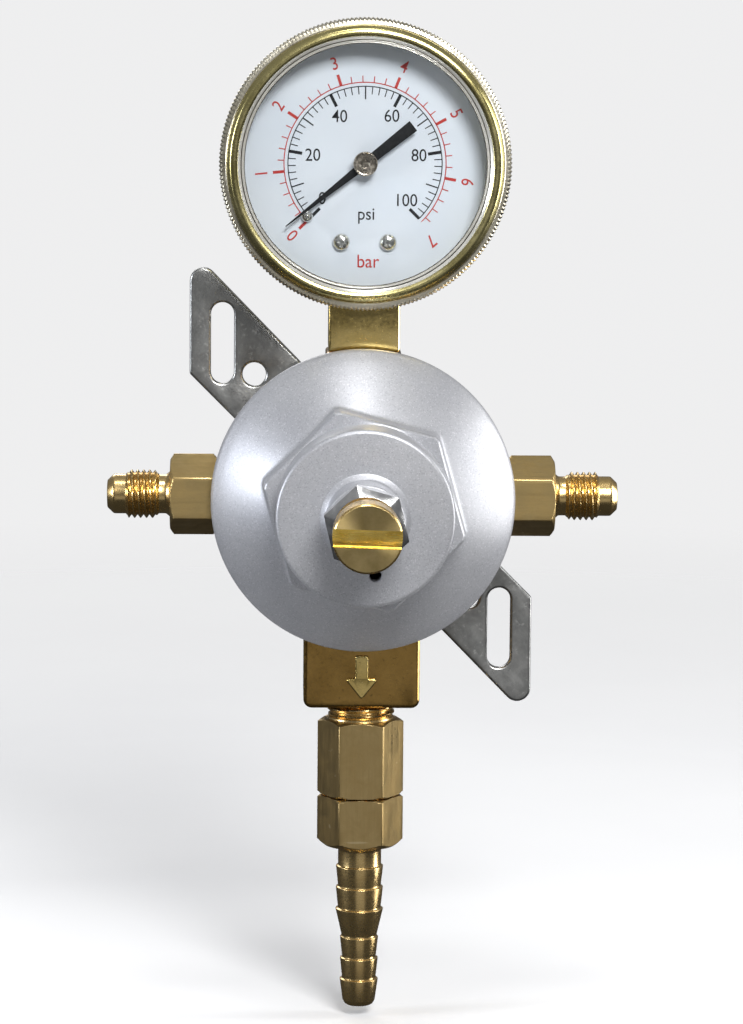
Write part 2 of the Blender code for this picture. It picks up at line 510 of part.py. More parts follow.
# pointer, drawn pointing along +X and turned to its rest angle
ca, sa = math.cos(rad(POINTER_ANGLE)), math.sin(rad(POINTER_ANGLE))
needle = [(1.9, 0.72), (POINTER_L, 0.12), (POINTER_L, -0.12), (1.9, -0.72), (1.4, -1.4), (0.0, -2.0), (-1.4, -1.4), (-1.9, -0.95), (-TAIL_L, -1.2), (-TAIL_L, 1.2), (-1.9, 0.95), (-1.4, 1.4), (0.0, 2.0), (1.4, 1.4)]
needle = [(x * ca - z * sa, GZ + x * sa + z * ca) for x, z in needle]
plate("gauge_pointer", needle, [circle(0, GZ, 1.4, 14)], 7.0, 7.45, BLACK, origin=(0, -(FIT + 7.0), GZ))
lathe(
    "pointer_hub",
    [(0, 8.6), (0.62, 8.6), (0.62, 6.2), (1.1, 6.2), (1.1, 7.75), (2.42, 7.75), (2.42, 8.5), (2.1, 8.85), (0, 8.85)],
    24, G, BRASS_DARK, origin=(0, -(FIT + 7.0), GZ),
)


def gear_tooth(teeth, module, tip, root, thin):
    """Half-angles of one involute tooth at rising radii: [(r, half angle)]."""
    pitch = module * teeth / 2
    base = pitch * math.cos(rad(20))
    inv = math.tan(rad(20)) - rad(20)
    rows = []
    for i in range(3):
        r = max(root, base) + (tip - max(root, base)) * i / 2
        a = math.acos(min(1.0, base / r))
        half_t = math.pi / (2 * teeth) - thin / pitch / 2 + inv - (math.tan(a) - a)
        rows.append((r, half_t))
    if root < base:
        rows.insert(0, (root, rows[0][1]))
    return rows


# pinion: a tooth space faces the sector at rest
mesh_dir = math.atan2(SECTOR_Z, SECTOR_X)
rows = gear_tooth(PINION_TEETH, MODULE, 1.72, 1.08, 0.10)
pinion_loop = []
for k in range(PINION_TEETH):
    c = mesh_dir + 2 * math.pi * (k + 0.5) / PINION_TEETH
    pinion_loop += [(r * math.cos(c - h), GZ + r * math.sin(c - h)) for r, h in rows]
    pinion_loop += [(r * math.cos(c + h), GZ + r * math.sin(c + h)) for r, h in reversed(rows)]
arbor = plate("pinion_arbor", pinion_loop, [], 0.9, 2.5, BRASS_DARK, origin=(0, -(FIT + 7.0), GZ))
boolean(arbor, lathe("guide_arbor", [(0, -0.9), (0.5, -0.9), (0.5, 8.3), (0, 8.3)], 16, G), "UNION")

# sector: a tooth faces the pinion at rest; its teeth cover the pointer's whole sweep
ratio = SECTOR_TEETH / PINION_TEETH
to_pinion = math.atan2(-SECTOR_Z, -SECTOR_X)
step = 2 * math.pi / SECTOR_TEETH
rows = gear_tooth(SECTOR_TEETH, MODULE, 13.5 + 0.22, 13.5 - 0.34, 0.10)
sector_loop = []
first, last = 1, -9
for k in range(first, last - 1, -1):
    c = to_pinion + k * step
    sector_loop += [(r * math.cos(c + h), r * math.sin(c + h)) for r, h in rows]
    sector_loop += [(r * math.cos(c - h), r * math.sin(c - h)) for r, h in reversed(rows)]
end = to_pinion + (last - 0.6) * step
sector_loop += [(13.16 * math.cos(end), 13.16 * math.sin(end)), (11.4 * math.cos(end), 11.4 * math.sin(end))]
mid = to_pinion + (first + last) / 2 * step
sector_loop += [(11.4 * math.cos(mid - 0.09), 11.4 * math.sin(mid - 0.09)), (2.4 * math.cos(mid - 0.5), 2.4 * math.sin(mid - 0.5))]
ta = rad(TAIL_ANGLE)
tail = (TAIL_ARM * math.cos(ta), TAIL_ARM * math.sin(ta))
sector_loop += [(1.9 * math.cos(ta + 0.75), 1.9 * math.sin(ta + 0.75))]
sector_loop += [(tail[0] + 1.1 * math.cos(ta + rad(a)), tail[1] + 1.1 * math.sin(ta + rad(a))) for a in (90, 45, 0, -45, -90)]
sector_loop += [(1.9 * math.cos(ta - 0.75), 1.9 * math.sin(ta - 0.75)), (1.9 * math.cos(ta + math.pi), 1.9 * math.sin(ta + math.pi))]
sector_loop += [(2.4 * math.cos(mid + 0.5), 2.4 * math.sin(mid + 0.5)), (11.4 * math.cos(mid + 0.09), 11.4 * math.sin(mid + 0.09))]
start = to_pinion + (first + 0.6) * step
sector_loop += [(11.4 * math.cos(start), 11.4 * math.sin(start)), (13.16 * math.cos(start), 13.16 * math.sin(start))]
sector_loop = [(SECTOR_X + x, GZ + SECTOR_Z + z) for x, z in sector_loop]
sector_pivot = (SECTOR_X, -(FIT + 1.7), GZ + SECTOR_Z)
sector = plate("sector_gear", sector_loop, [], 1.2, 2.2, BRASS, origin=sector_pivot)
boolean(sector, lathe("guide_sector_arbor", [(0, -0.9), (0.5, -0.9), (0.5, 3.9), (0, 3.9)], 16, along_y(SECTOR_X, GZ + SECTOR_Z)), "UNION")
tail_x, tail_z = SECTOR_X + tail[0], SECTOR_Z + tail[1]
boolean(sector, lathe("guide_sector_pin", [(0, 1.7), (0.5, 1.7), (0.5, 3.15), (0, 3.15)], 14, along_y(tail_x, GZ + tail_z)), "UNION")

# link from the sector's tail pin to the tube's tip pin
lx, lz = TIP_X - tail_x, TIP_Z - tail_z
ll = math.hypot(lx, lz)
ux, uz = lx / ll, lz / ll
link_loop = [(tail_x + 1.1 * math.cos(math.atan2(uz, ux) + rad(a)), tail_z + 1.1 * math.sin(math.atan2(uz, ux) + rad(a))) for a in (90, 130, 180, 230, 270)]
link_loop += [(TIP_X + 1.25 * math.cos(math.atan2(uz, ux) + rad(a)), TIP_Z + 1.25 * math.sin(math.atan2(uz, ux) + rad(a))) for a in (-90, -45, 0, 45, 90)]
link_loop = [rel(x, z) for x, z in link_loop]
plate("sector_link", link_loop, [circle(tail_x, GZ + tail_z, 0.58, 14), circle(TIP_X, GZ + TIP_Z, 0.8, 14)], 2.5, 3.0, STEEL, origin=(tail_x, -(FIT + 2.7), GZ + tail_z))

# C-shaped pressure tube, open at its root
tube_from, tube_to, tube_steps = 247.0, -18.0, 22
verts, faces, sides = [], [], 8
for i in range(tube_steps + 1):
    a = rad(tube_from + (tube_to - tube_from) * i / tube_steps)
    for k in range(sides):
        b = 2 * math.pi * k / sides
        r = TUBE_R + 0.95 * math.cos(b)
        verts.append((r * math.cos(a), -(FIT - 1.0) + 3.2 * math.sin(b), GZ + r * math.sin(a)))
for i in range(tube_steps):
    for k in range(sides):
        j = (k + 1) % sides
        faces.append((i * sides + k, (i + 1) * sides + k, (i + 1) * sides + j, i * sides + j))
faces += [tuple(range(sides)), tuple(tube_steps * sides + k for k in range(sides))]
add("bourdon_tube", verts, faces, BRASS)
a = rad(tube_to)
e_r, e_t = (math.cos(a), math.sin(a)), (math.sin(a), -math.cos(a))


def tip_point(r, t):
    return (r * e_r[0] + t * e_t[0], GZ + r * e_r[1] + t * e_t[1])


tip_loop = [tip_point(20.6, 0.35), tip_point(20.6, 2.6), tip_point(17.0, 2.9), (TIP_X - 0.6, GZ + TIP_Z - 1.2), (TIP_X - 1.2, GZ + TIP_Z), (TIP_X - 0.6, GZ + TIP_Z + 1.2), tip_point(18.2, 0.35)]
tip = plate("bourdon_tip", tip_loop, [], -3.5, 2.2, BRASS, origin=(TIP_X, -(FIT + 2.7), GZ + TIP_Z))
boolean(tip, lathe("guide_tip_pin", [(0, 1.0), (0.5, 1.0), (0.5, 3.15), (0, 3.15)], 14, along_y(TIP_X, GZ + TIP_Z)), "UNION")

# movement plates, joined by pillars
movement = [rel(x, z) for x, z in ((-6.3, -18.6), (12.2, -18.6), (12.2, -9.8), (3.6, 3.6), (-3.6, 3.6), (-6.3, -13.0))]
bearings = [circle(0, GZ, 0.58, 16), circle(SECTOR_X, GZ + SECTOR_Z, 0.58, 16)]
plate("movement_back_plate", movement, bearings, -1.0, -0.2, BRASS)
plate("movement_front_plate", movement, bearings + [circle(s * DIAL_SCREW_X, GZ + DIAL_SCREW_Z, 1.15, 12) for s in (-1, 1)], 3.3, 4.1, BRASS)
for k, (x, z) in enumerate(((-1.5, -16.8), (-2.75, 2.75))):
    lathe(f"movement_pillar_{k + 1}", [(0, 0.1), (0.8, 0.1), (0.8, 3.0), (0, 3.0)], 12, along_y(x, GZ + z), BRASS)

# hairspring: a flat spiral round the arbor
verts, faces = [], []
turns, per = 2.5, 14
count = int(turns * per) + 1
for i in range(count):
    u = i / (count - 1)
    a = rad(60) + 2 * math.pi * turns * u
    r = 0.8 + 2.0 * u
    for dr, d in ((-0.1, 2.7), (0.1, 2.7), (0.1, 3.05), (-0.1, 3.05)):
        verts.append(((r + dr) * math.cos(a), -(FIT + d), GZ + (r + dr) * math.sin(a)))
for i in range(count - 1):
    for k in range(4):
        j = (k + 1) % 4
        faces.append((i * 4 + k, (i + 1) * 4 + k, (i + 1) * 4 + j, i * 4 + j))
faces += [(0, 1, 2, 3), tuple((count - 1) * 4 + k for k in range(4))]
add("hairspring", verts, faces, STEEL)
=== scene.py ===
import math

import bmesh
import bpy
from mathutils import Matrix, Vector


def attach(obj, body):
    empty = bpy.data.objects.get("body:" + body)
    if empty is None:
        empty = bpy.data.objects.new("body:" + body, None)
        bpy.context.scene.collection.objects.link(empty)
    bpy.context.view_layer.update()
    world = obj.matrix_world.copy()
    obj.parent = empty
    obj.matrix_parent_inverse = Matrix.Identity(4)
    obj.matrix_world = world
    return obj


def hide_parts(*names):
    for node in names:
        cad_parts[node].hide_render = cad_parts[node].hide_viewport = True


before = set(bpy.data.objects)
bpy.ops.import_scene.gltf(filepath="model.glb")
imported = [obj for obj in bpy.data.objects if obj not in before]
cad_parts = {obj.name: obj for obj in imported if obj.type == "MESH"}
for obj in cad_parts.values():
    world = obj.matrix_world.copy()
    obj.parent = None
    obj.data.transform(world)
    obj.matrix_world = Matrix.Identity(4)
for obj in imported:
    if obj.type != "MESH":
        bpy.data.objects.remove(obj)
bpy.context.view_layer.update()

# Lengths are in millimetres and become metres in build(). "d" is the distance in front of the fitting axis: y = -(FIT + d).
MM = 0.001
FIT, GZ = 16.0, 67.2


def rad(a):
    return math.radians(a)


def along_y(x0=0.0, z0=0.0):
    return lambda r, t, h: (x0 + r * math.cos(t), -(FIT + h), z0 + r * math.sin(t))


def along_z(x0=0.0, d0=0.0):
    return lambda r, t, h: (x0 + r * math.cos(t), -(FIT + d0) + r * math.sin(t), h)


def along_x(d0=0.0, z0=0.0):
    return lambda r, t, h: (h, -(FIT + d0) + r * math.cos(t), z0 + r * math.sin(t))


# ================================================================ mesh tools
def outward(bm):
    bmesh.ops.recalc_face_normals(bm, faces=bm.faces)
    if bm.calc_volume(signed=True) < 0:
        bmesh.ops.reverse_faces(bm, faces=bm.faces)


def shade(mesh, angle):
    mesh.shade_smooth()
    mesh.set_sharp_from_angle(angle=rad(angle))


def build(name, verts, faces, mats=(), angle=28.0, mat_of=None):
    mesh = bpy.data.meshes.new(name)
    mesh.from_pydata([(x * MM, y * MM, z * MM) for x, y, z in verts], [], faces)
    for m in mats:
        mesh.materials.append(m)
    if mat_of:
        mesh.polygons.foreach_set("material_index", mat_of)
    bm = bmesh.new()
    bm.from_mesh(mesh)
    outward(bm)
    bm.to_mesh(mesh)
    bm.free()
    shade(mesh, angle)
    o = bpy.data.objects.new(name, mesh)
    bpy.context.scene.collection.objects.link(o)
    return o


def rounded(path, f=0.15, steps=3):
    """Rounds the corners of an open (r, h) profile. A third number is that corner's own radius."""
    out = []
    for i, p in enumerate(path):
        r = p[2] if len(p) > 2 else f
        if i in (0, len(path) - 1) or r <= 0:
            out.append((p[0], p[1]))
            continue
        b = Vector(p[:2])
        u, v = Vector(path[i - 1][:2]) - b, Vector(path[i + 1][:2]) - b
        lu, lv = u.length, v.length
        if lu < 1e-5 or lv < 1e-5:
            out.append((p[0], p[1]))
            continue
        u, v = u / lu, v / lv
        a = math.acos(max(-1.0, min(1.0, u.dot(v))))
        if a > rad(174) or a < rad(4):
            out.append((p[0], p[1]))
            continue
        t = min(r / math.tan(a / 2), 0.47 * lu, 0.47 * lv)
        r = t * math.tan(a / 2)
        c = b + (u + v).normalized() * (r / math.sin(a / 2))
        s, e = b + u * t - c, b + v * t - c
        a0, a1 = math.atan2(s.y, s.x), math.atan2(e.y, e.x)
        turn = (a1 - a0 + math.pi) % (2 * math.pi) - math.pi
        for k in range(steps + 1):
            q = a0 + turn * k / steps
            out.append((c.x + r * math.cos(q), c.y + r * math.sin(q)))
    return out


def refine(rows, h0, h1, step):
    """Adds stations between h0 and h1 so that none are further apart than step."""
    lo, hi = min(h0, h1) - 1e-6, max(h0, h1) + 1e-6
    out = [rows[0]]
    for a, b in zip(rows, rows[1:]):
        if lo <= a[1] <= hi and lo <= b[1] <= hi:
            k = max(1, math.ceil(math.hypot(b[0] - a[0], b[1] - a[1]) / step))
            out += [(a[0] + (b[0] - a[0]) * i / k, a[1] + (b[1] - a[1]) * i / k) for i in range(1, k)]
        out.append(b)
    return out


def hex_r(off, af, rho):
    """Radius of a hexagon with rounded corners, off degrees from a flat's normal."""
    a = af / 2
    off = abs(off)
    if off <= math.degrees(math.atan((a - rho) * math.tan(rad(30)) / a)):
        return a / math.cos(rad(off))
    c = (a - rho) / math.cos(rad(30))
    d = rad(30 - off)
    return c * math.cos(d) + math.sqrt(max(0.0, rho * rho - (c * math.sin(d)) ** 2))


def hex_angles(turn, af, rho, flat=10, arc=6):
    t = math.degrees(math.atan((af / 2 - rho) * math.tan(rad(30)) / (af / 2)))
    offs = [-t + 2 * t * i / flat for i in range(flat)] + [t + (60 - 2 * t) * i / arc for i in range(arc)]
    return [rad(turn + 60 * k + o) for k in range(6) for o in offs]


def ring_angles(n, turn=0.0):
    return [rad(turn) + 2 * math.pi * i / n for i in range(n)]


def off_of(t, turn):
    return (math.degrees(t) - turn + 30.0) % 60.0 - 30.0


def lathe(name, rows, place, mats=(), angles=None, shape=None, closed=False, angle=28.0, mat_at=None):
    """Rings joined along a profile. shape(r, h, t) may change a ring's radius point by point."""
    angles = angles or ring_angles(96)
    n = len(angles)
    verts, rings, faces, mat_of = [], [], [], []
    for r, h in rows:
        if r < 1e-7:
            rings.append([len(verts)])
            verts.append(place(0.0, 0.0, h))
            continue
        rings.append(list(range(len(verts), len(verts) + n)))
        for t in angles:
            verts.append(place(shape(r, h, t) if shape else r, t, h))
    pairs = list(zip(range(len(rings)), range(1, len(rings)))) + ([(len(rings) - 1, 0)] if closed else [])
    for ia, ib in pairs:
        a, b = rings[ia], rings[ib]
        m = mat_at(0.5 * (rows[ia][0] + rows[ib][0]), 0.5 * (rows[ia][1] + rows[ib][1])) if mat_at else 0
        for i in range(n):
            j = (i + 1) % n
            if len(a) == 1 and len(b) == 1:
                continue
            if len(a) == 1:
                faces.append((a[0], b[i], b[j]))
            elif len(b) == 1:
                faces.append((a[i], b[0], a[j]))
            else:
                faces.append((a[i], b[i], b[j], a[j]))
            mat_of.append(m)
    return build(name, verts, faces, mats, angle, mat_of if mat_at else None)


def block(name, lo, hi, mats=(), bevels=(), rest=0.4):
    """A box between two corners. bevels lists (test of an edge's middle and direction, radius) done before all the rest."""
    bm = bmesh.new()
    bmesh.ops.create_cube(bm, size=1.0)
    for v in bm.verts:
        v.co = Vector([lo[i] + (v.co[i] + 0.5) * (hi[i] - lo[i]) for i in range(3)])
    for test, r in bevels:
        es = [e for e in bm.edges if test((e.verts[0].co + e.verts[1].co) / 2, (e.verts[1].co - e.verts[0].co).normalized())]
        bmesh.ops.bevel(bm, geom=es, offset=r, segments=6, profile=0.5, affect="EDGES", clamp_overlap=True)
    es = [e for e in bm.edges if len(e.link_faces) == 2 and e.calc_face_angle(0.0) > rad(35)]
    bmesh.ops.bevel(bm, geom=es, offset=rest, segments=3, profile=0.5, affect="EDGES", clamp_overlap=True)
    for v in bm.verts:
        v.co *= MM
    outward(bm)
    mesh = bpy.data.meshes.new(name)
    bm.to_mesh(mesh)
    bm.free()
    for m in mats:
        mesh.materials.append(m)
    shade(mesh, 28)
    o = bpy.data.objects.new(name, mesh)
    bpy.context.scene.collection.objects.link(o)
    return o


def combine(obj, cutters, operation="DIFFERENCE", solver="MANIFOLD", angle=28.0):
    """Applies one Boolean for each cutter and removes the cutters."""
    for c in cutters:
        m = obj.modifiers.new("cut", "BOOLEAN")
        m.operation, m.solver, m.object = operation, solver, c
        bpy.context.view_layer.update()
        fresh = bpy.data.meshes.new_from_object(obj.evaluated_get(bpy.context.evaluated_depsgraph_get()))
        obj.modifiers.clear()
        if len(fresh.polygons):
            obj.data = fresh
        else:
            print("combine gave nothing:", obj.name, c.name)
        bpy.data.objects.remove(c, do_unlink=True)
    me = obj.data
    mats = list(me.materials)
    if None in mats:  # an empty slot that the cutter left
        kept = [m for m in mats if m]
        new = {i: kept.index(m) for i, m in enumerate(mats) if m}
        where = [new.get(p.material_index, 0) for p in me.polygons]
        me.materials.clear()
        for m in kept:
            me.materials.append(m)
        me.polygons.foreach_set("material_index", where)
    shade(me, angle)
    return obj


def round_poly(points, steps=6):
    """A closed (x, z) outline with rounded corners; each point is (x, z, radius)."""
    out = []
    n = len(points)
    for i, (x, z, r) in enumerate(points):
        b = Vector((x, z))
        u, v = Vector(points[i - 1][:2]) - b, Vector(points[(i + 1) % n][:2]) - b
        lu, lv = u.length, v.length
        u, v = u / lu, v / lv
        a = math.acos(max(-1.0, min(1.0, u.dot(v))))
        if r <= 0 or a > rad(179):
            out.append((x, z))
            continue
        t = min(r / math.tan(a / 2), 0.49 * lu, 0.49 * lv)
        r = t * math.tan(a / 2)
        c = b + (u + v).normalized() * (r / math.sin(a / 2))
        s, e = b + u * t - c, b + v * t - c
        a0, a1 = math.atan2(s.y, s.x), math.atan2(e.y, e.x)
        turn = (a1 - a0 + math.pi) % (2 * math.pi) - math.pi
        for k in range(steps + 1):
            q = a0 + turn * k / steps
            out.append((c.x + r * math.cos(q), c.y + r * math.sin(q)))
    return out


def circle(cx, cz, r, n):
    return [(cx + r * math.cos(2 * math.pi * i / n), cz + r * math.sin(2 * math.pi * i / n)) for i in range(n)]


def area_of(loop):
    return 0.5 * sum(a[0] * b[1] - b[0] * a[1] for a, b in zip(loop, loop[1:] + loop[:1]))


def inset(loop, by, hole):
    """Moves a loop into the material by a distance."""
    if (area_of(loop) > 0) == hole:
        loop = loop[::-1]
    out = []
    n = len(loop)
    for i in range(n):
        a, b, c = Vector(loop[i - 1]), Vector(loop[i]), Vector(loop[(i + 1) % n])
        d0, d1 = (b - a).normalized(), (c - b).normalized()
        n0, n1 = Vector((-d0.y, d0.x)), Vector((-d1.y, d1.x))
        m = n0 + n1
        out.append(tuple(b + m * (by / max(0.3, m.length_squared / 2))))
    return out


def plate(name, outline, holes, d0, d1, mats=(), edge=0.2, bend=None, lines=(), angle=28.0):
    """A plate facing the viewer between d0 and d1 with rounded rims. bend adds to y, lines are cuts where it changes."""
    loops = [(outline if area_of(outline) > 0 else outline[::-1], False)] + [(h if area_of(h) < 0 else h[::-1], True) for h in holes]
    for co, no in lines:  # points of the outline on the cut lines
        fresh = []
        for loop, hole in loops:
            pts = []
            for a, b in zip(loop, loop[1:] + loop[:1]):
                pts.append(a)
                fa = (a[0] - co[0]) * no[0] + (a[1] - co[2]) * no[2]
                fb = (b[0] - co[0]) * no[0] + (b[1] - co[2]) * no[2]
                if fa * fb < -1e-12:
                    k = fa / (fa - fb)
                    if 0.001 < k < 0.999:
                        pts.append((a[0] + (b[0] - a[0]) * k, a[1] + (b[1] - a[1]) * k))
            fresh.append((pts, hole))
        loops = fresh
    move = bend or (lambda x, z: 0.0)
    e = edge
    levels = [(e, d1), (0.62 * e, d1 - 0.08 * e), (0.29 * e, d1 - 0.29 * e), (0.08 * e, d1 - 0.62 * e), (0.0, d1 - e)]
    levels += [(0.0, d0 + e), (0.08 * e, d0 + 0.62 * e), (0.29 * e, d0 + 0.29 * e), (0.62 * e, d0 + 0.08 * e), (e, d0)]
    verts, faces, tops = [], [], []
    for loop, hole in loops:
        rings = []
        for by, d in levels:
            pts = inset(loop, by, hole) if by else loop
            rings.append(list(range(len(verts), len(verts) + len(pts))))
            verts += [(x, -(FIT + d) + move(x, z), z) for x, z in pts]
        for a, b in zip(rings, rings[1:]):
            faces += [(a[i], b[i], b[(i + 1) % len(a)], a[(i + 1) % len(a)]) for i in range(len(a))]
        tops.append((inset(loop, e, hole), rings[0], rings[-1]))
    bm = bmesh.new()
    for pts, _, _ in tops:
        vs = [bm.verts.new((x, 0.0, z)) for x, z in pts]
        for i in range(len(vs)):
            bm.edges.new((vs[i], vs[(i + 1) % len(vs)]))
    bmesh.ops.triangle_fill(bm, use_beauty=True, use_dissolve=False, edges=bm.edges[:], normal=(0, -1, 0))
    for co, no in lines:
        bmesh.ops.bisect_plane(bm, geom=bm.verts[:] + bm.edges[:] + bm.faces[:], dist=1e-3, plane_co=co, plane_no=no)
    bm.verts.index_update()
    base = len(verts)
    flat = [(v.co.x, v.co.z) for v in bm.verts]
    n = len(flat)
    verts += [(x, -(FIT + d1) + move(x, z), z) for x, z in flat]
    verts += [(x, -(FIT + d0) + move(x, z), z) for x, z in flat]
    for f in bm.faces:
        ids = [v.index for v in f.verts]
        faces.append(tuple(base + i for i in ids))
        faces.append(tuple(base + n + i for i in reversed(ids)))
    bm.free()
    mesh = bpy.data.meshes.new(name)
    mesh.from_pydata([(x * MM, y * MM, z * MM) for x, y, z in verts], [], faces)
    bm = bmesh.new()
    bm.from_mesh(mesh)
    bmesh.ops.remove_doubles(bm, verts=bm.verts, dist=2e-6)
    outward(bm)
    bm.to_mesh(mesh)
    bm.free()
    for m in mats:
        mesh.materials.append(m)
    shade(mesh, angle)
    o = bpy.data.objects.new(name, mesh)
    bpy.context.scene.collection.objects.link(o)
    return o


def join(name, objs, angle=28.0):
    """Several closed solids as one piece, keeping their materials."""
    bm = bmesh.new()
    mats = []
    for o in objs:
        start = len(bm.faces)
        bm.from_mesh(o.data)
        bm.faces.ensure_lookup_table()
        index = []
        for m in o.data.materials:
            if m not in mats:
                mats.append(m)
            index.append(mats.index(m))
        for f in bm.faces[start:]:
            f.material_index = index[f.material_index] if index else 0
        bpy.data.objects.remove(o, do_unlink=True)
    mesh = bpy.data.meshes.new(name)
    bm.to_mesh(mesh)
    bm.free()
    for m in mats:
        mesh.materials.append(m)
    shade(mesh, angle)
    o = bpy.data.objects.new(name, mesh)
    bpy.context.scene.collection.objects.link(o)
    return o


def done(obj, body, slot, *nodes):
    """The piece rides on its body and stands for its CAD nodes, which are hidden; slot is not used."""
    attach(obj, body)
    if nodes:
        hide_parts(*nodes)
    return obj


# ================================================================ materials
class Nodes:
    """A material with a Principled shader and small helpers to build its nodes."""

    def __init__(self, name):
        self.m = bpy.data.materials.new(name)
        self.m.use_nodes = True
        self.t = self.m.node_tree
        self.b = self.t.nodes["Principled BSDF"]
        self.tc = self.t.nodes.new("ShaderNodeTexCoord").outputs["Object"]

    def set(self, **kw):
        for k, v in kw.items():
            self.b.inputs[k.replace("_", " ")].default_value = v

    def link(self, a, b):
        self.t.links.new(a, b)

    def coords(self, scale=(1, 1, 1), loc=(0, 0, 0)):
        n = self.t.nodes.new("ShaderNodeMapping")
        n.vector_type = "POINT"
        n.inputs["Scale"].default_value = scale
        n.inputs["Location"].default_value = [-a * b for a, b in zip(loc, scale)]
        self.link(self.tc, n.inputs["Vector"])
        return n.outputs["Vector"]

    def noise(self, scale, detail=3.0, rough=0.55, stretch=(1, 1, 1), seed=0.0, distortion=0.0):
        n = self.t.nodes.new("ShaderNodeTexNoise")
        n.noise_dimensions = "3D"
        n.inputs["Scale"].default_value = scale
        n.inputs["Detail"].default_value = detail
        n.inputs["Roughness"].default_value = rough
        n.inputs["Distortion"].default_value = distortion
        self.link(self.coords(stretch, (seed, seed * 0.7, -seed)), n.inputs["Vector"])
        return n.outputs["Fac"]

    def rings(self, scale, axis="Y", centre=(0, 0, 0), distortion=0.0):
        n = self.t.nodes.new("ShaderNodeTexWave")
        n.wave_type = "RINGS"
        n.rings_direction = axis
        n.inputs["Scale"].default_value = scale
        n.inputs["Distortion"].default_value = distortion
        self.link(self.coords((1, 1, 1), centre), n.inputs["Vector"])
        return n.outputs["Fac"]

    def ramp(self, fac, stops, mode="LINEAR"):
        n = self.t.nodes.new("ShaderNodeValToRGB")
        n.color_ramp.interpolation = mode
        els = n.color_ramp.elements
        while len(els) < len(stops):
            els.new(0.5)
        for e, (p, c) in zip(els, stops):
            e.position = p
            e.color = (*c, 1.0) if len(c) == 3 else c
        self.link(fac, n.inputs["Fac"])
        return n.outputs["Color"]

    def span(self, fac, lo, hi, a=0.3, b=0.7):
        n = self.t.nodes.new("ShaderNodeMapRange")
        for k, v in (("From Min", a), ("From Max", b), ("To Min", lo), ("To Max", hi)):
            n.inputs[k].default_value = v
        self.link(fac, n.inputs["Value"])
        return n.outputs["Result"]

    def mix(self, fac, a, b, kind="MIX"):
        n = self.t.nodes.new("ShaderNodeMix")
        n.data_type = "RGBA"
        n.blend_type = kind
        for s, v in ((0, fac), (6, a), (7, b)):
            if isinstance(v, (int, float)):
                n.inputs[s].default_value = v
            elif isinstance(v, tuple):
                n.inputs[s].default_value = (*v, 1.0)
            else:
                self.link(v, n.inputs[s])
        return n.outputs[2]

    def math(self, op, a, b):
        n = self.t.nodes.new("ShaderNodeMath")
        n.operation = op
        for s, v in ((0, a), (1, b)):
            if isinstance(v, (int, float)):
                n.inputs[s].default_value = v
            else:
                self.link(v, n.inputs[s])
        return n.outputs[0]

    def bump(self, height, distance, strength=1.0, onto=None):
        n = self.t.nodes.new("ShaderNodeBump")
        n.inputs["Strength"].default_value = strength
        n.inputs["Distance"].default_value = distance
        self.link(height, n.inputs["Height"])
        if onto is not None:
            self.link(onto, n.inputs["Normal"])
        return n.outputs["Normal"]

    def out(self, colour=None, rough=None, normal=None):
        if colour is not None:
            self.link(colour, self.b.inputs["Base Color"])
        if rough is not None:
            self.link(rough, self.b.inputs["Roughness"])
        if normal is not None:
            self.link(normal, self.b.inputs["Normal"])
        return self.m

    def tangent(self, axis):
        n = self.t.nodes.new("ShaderNodeTangent")
        n.direction_type = "RADIAL"
        n.axis = axis
        self.link(n.outputs["Tangent"], self.b.inputs["Tangent"])


def brass(name, light, dark, rough, axis=None, tool=0.0000035, mottle=260.0, pits=0.0, aniso=0.0, seed=0.0):
    """Brass: two tones in soft clouds, uneven gloss, faint tool marks across the given axis."""
    k = Nodes(name)
    k.set(Metallic=1.0)
    clouds = k.noise(mottle, 5.0, 0.6, seed=seed, distortion=0.4)
    fine = k.noise(2600.0, 3.0, 0.6, seed=seed + 0.3)
    tone = k.mix(k.span(clouds, 0.0, 1.0, 0.32, 0.68), dark, light)
    spots = k.span(k.noise(900.0, 4.0, 0.7, seed=seed + 0.8), 1.0, 0.72, 0.62, 0.78)
    tone = k.mix(1.0, tone, k.ramp(spots, [(0.0, (0.62, 0.56, 0.5)), (1.0, (1, 1, 1))]), "MULTIPLY")
    gloss = k.math("ADD", k.span(clouds, rough + 0.06, rough - 0.04, 0.3, 0.7), k.span(fine, -0.04, 0.05, 0.3, 0.7))
    normal = k.bump(fine, 0.0000012 + pits, 1.0)
    if axis:
        s = {"X": (1.0, 0.004, 0.004), "Y": (0.004, 1.0, 0.004), "Z": (0.004, 0.004, 1.0)}[axis]
        normal = k.bump(k.noise(5200.0, 2.0, 0.5, stretch=s, seed=seed), tool, 1.0, normal)
    if aniso:
        k.set(Anisotropic=aniso)
        k.tangent(axis or "Y")
    return k.out(tone, gloss, normal)


TURNED_X = brass("brass_turned_x", (0.82, 0.60, 0.27), (0.66, 0.46, 0.19), 0.24, "X", 0.0000014, 300.0)
TURNED_Z = brass("brass_turned_z", (0.78, 0.57, 0.26), (0.62, 0.43, 0.18), 0.26, "Z", 0.0000014, 300.0, seed=0.4)
TURNED_Y = brass("brass_turned_y", (0.80, 0.57, 0.24), (0.64, 0.44, 0.17), 0.27, "Y", 0.000002, 300.0, seed=0.2)


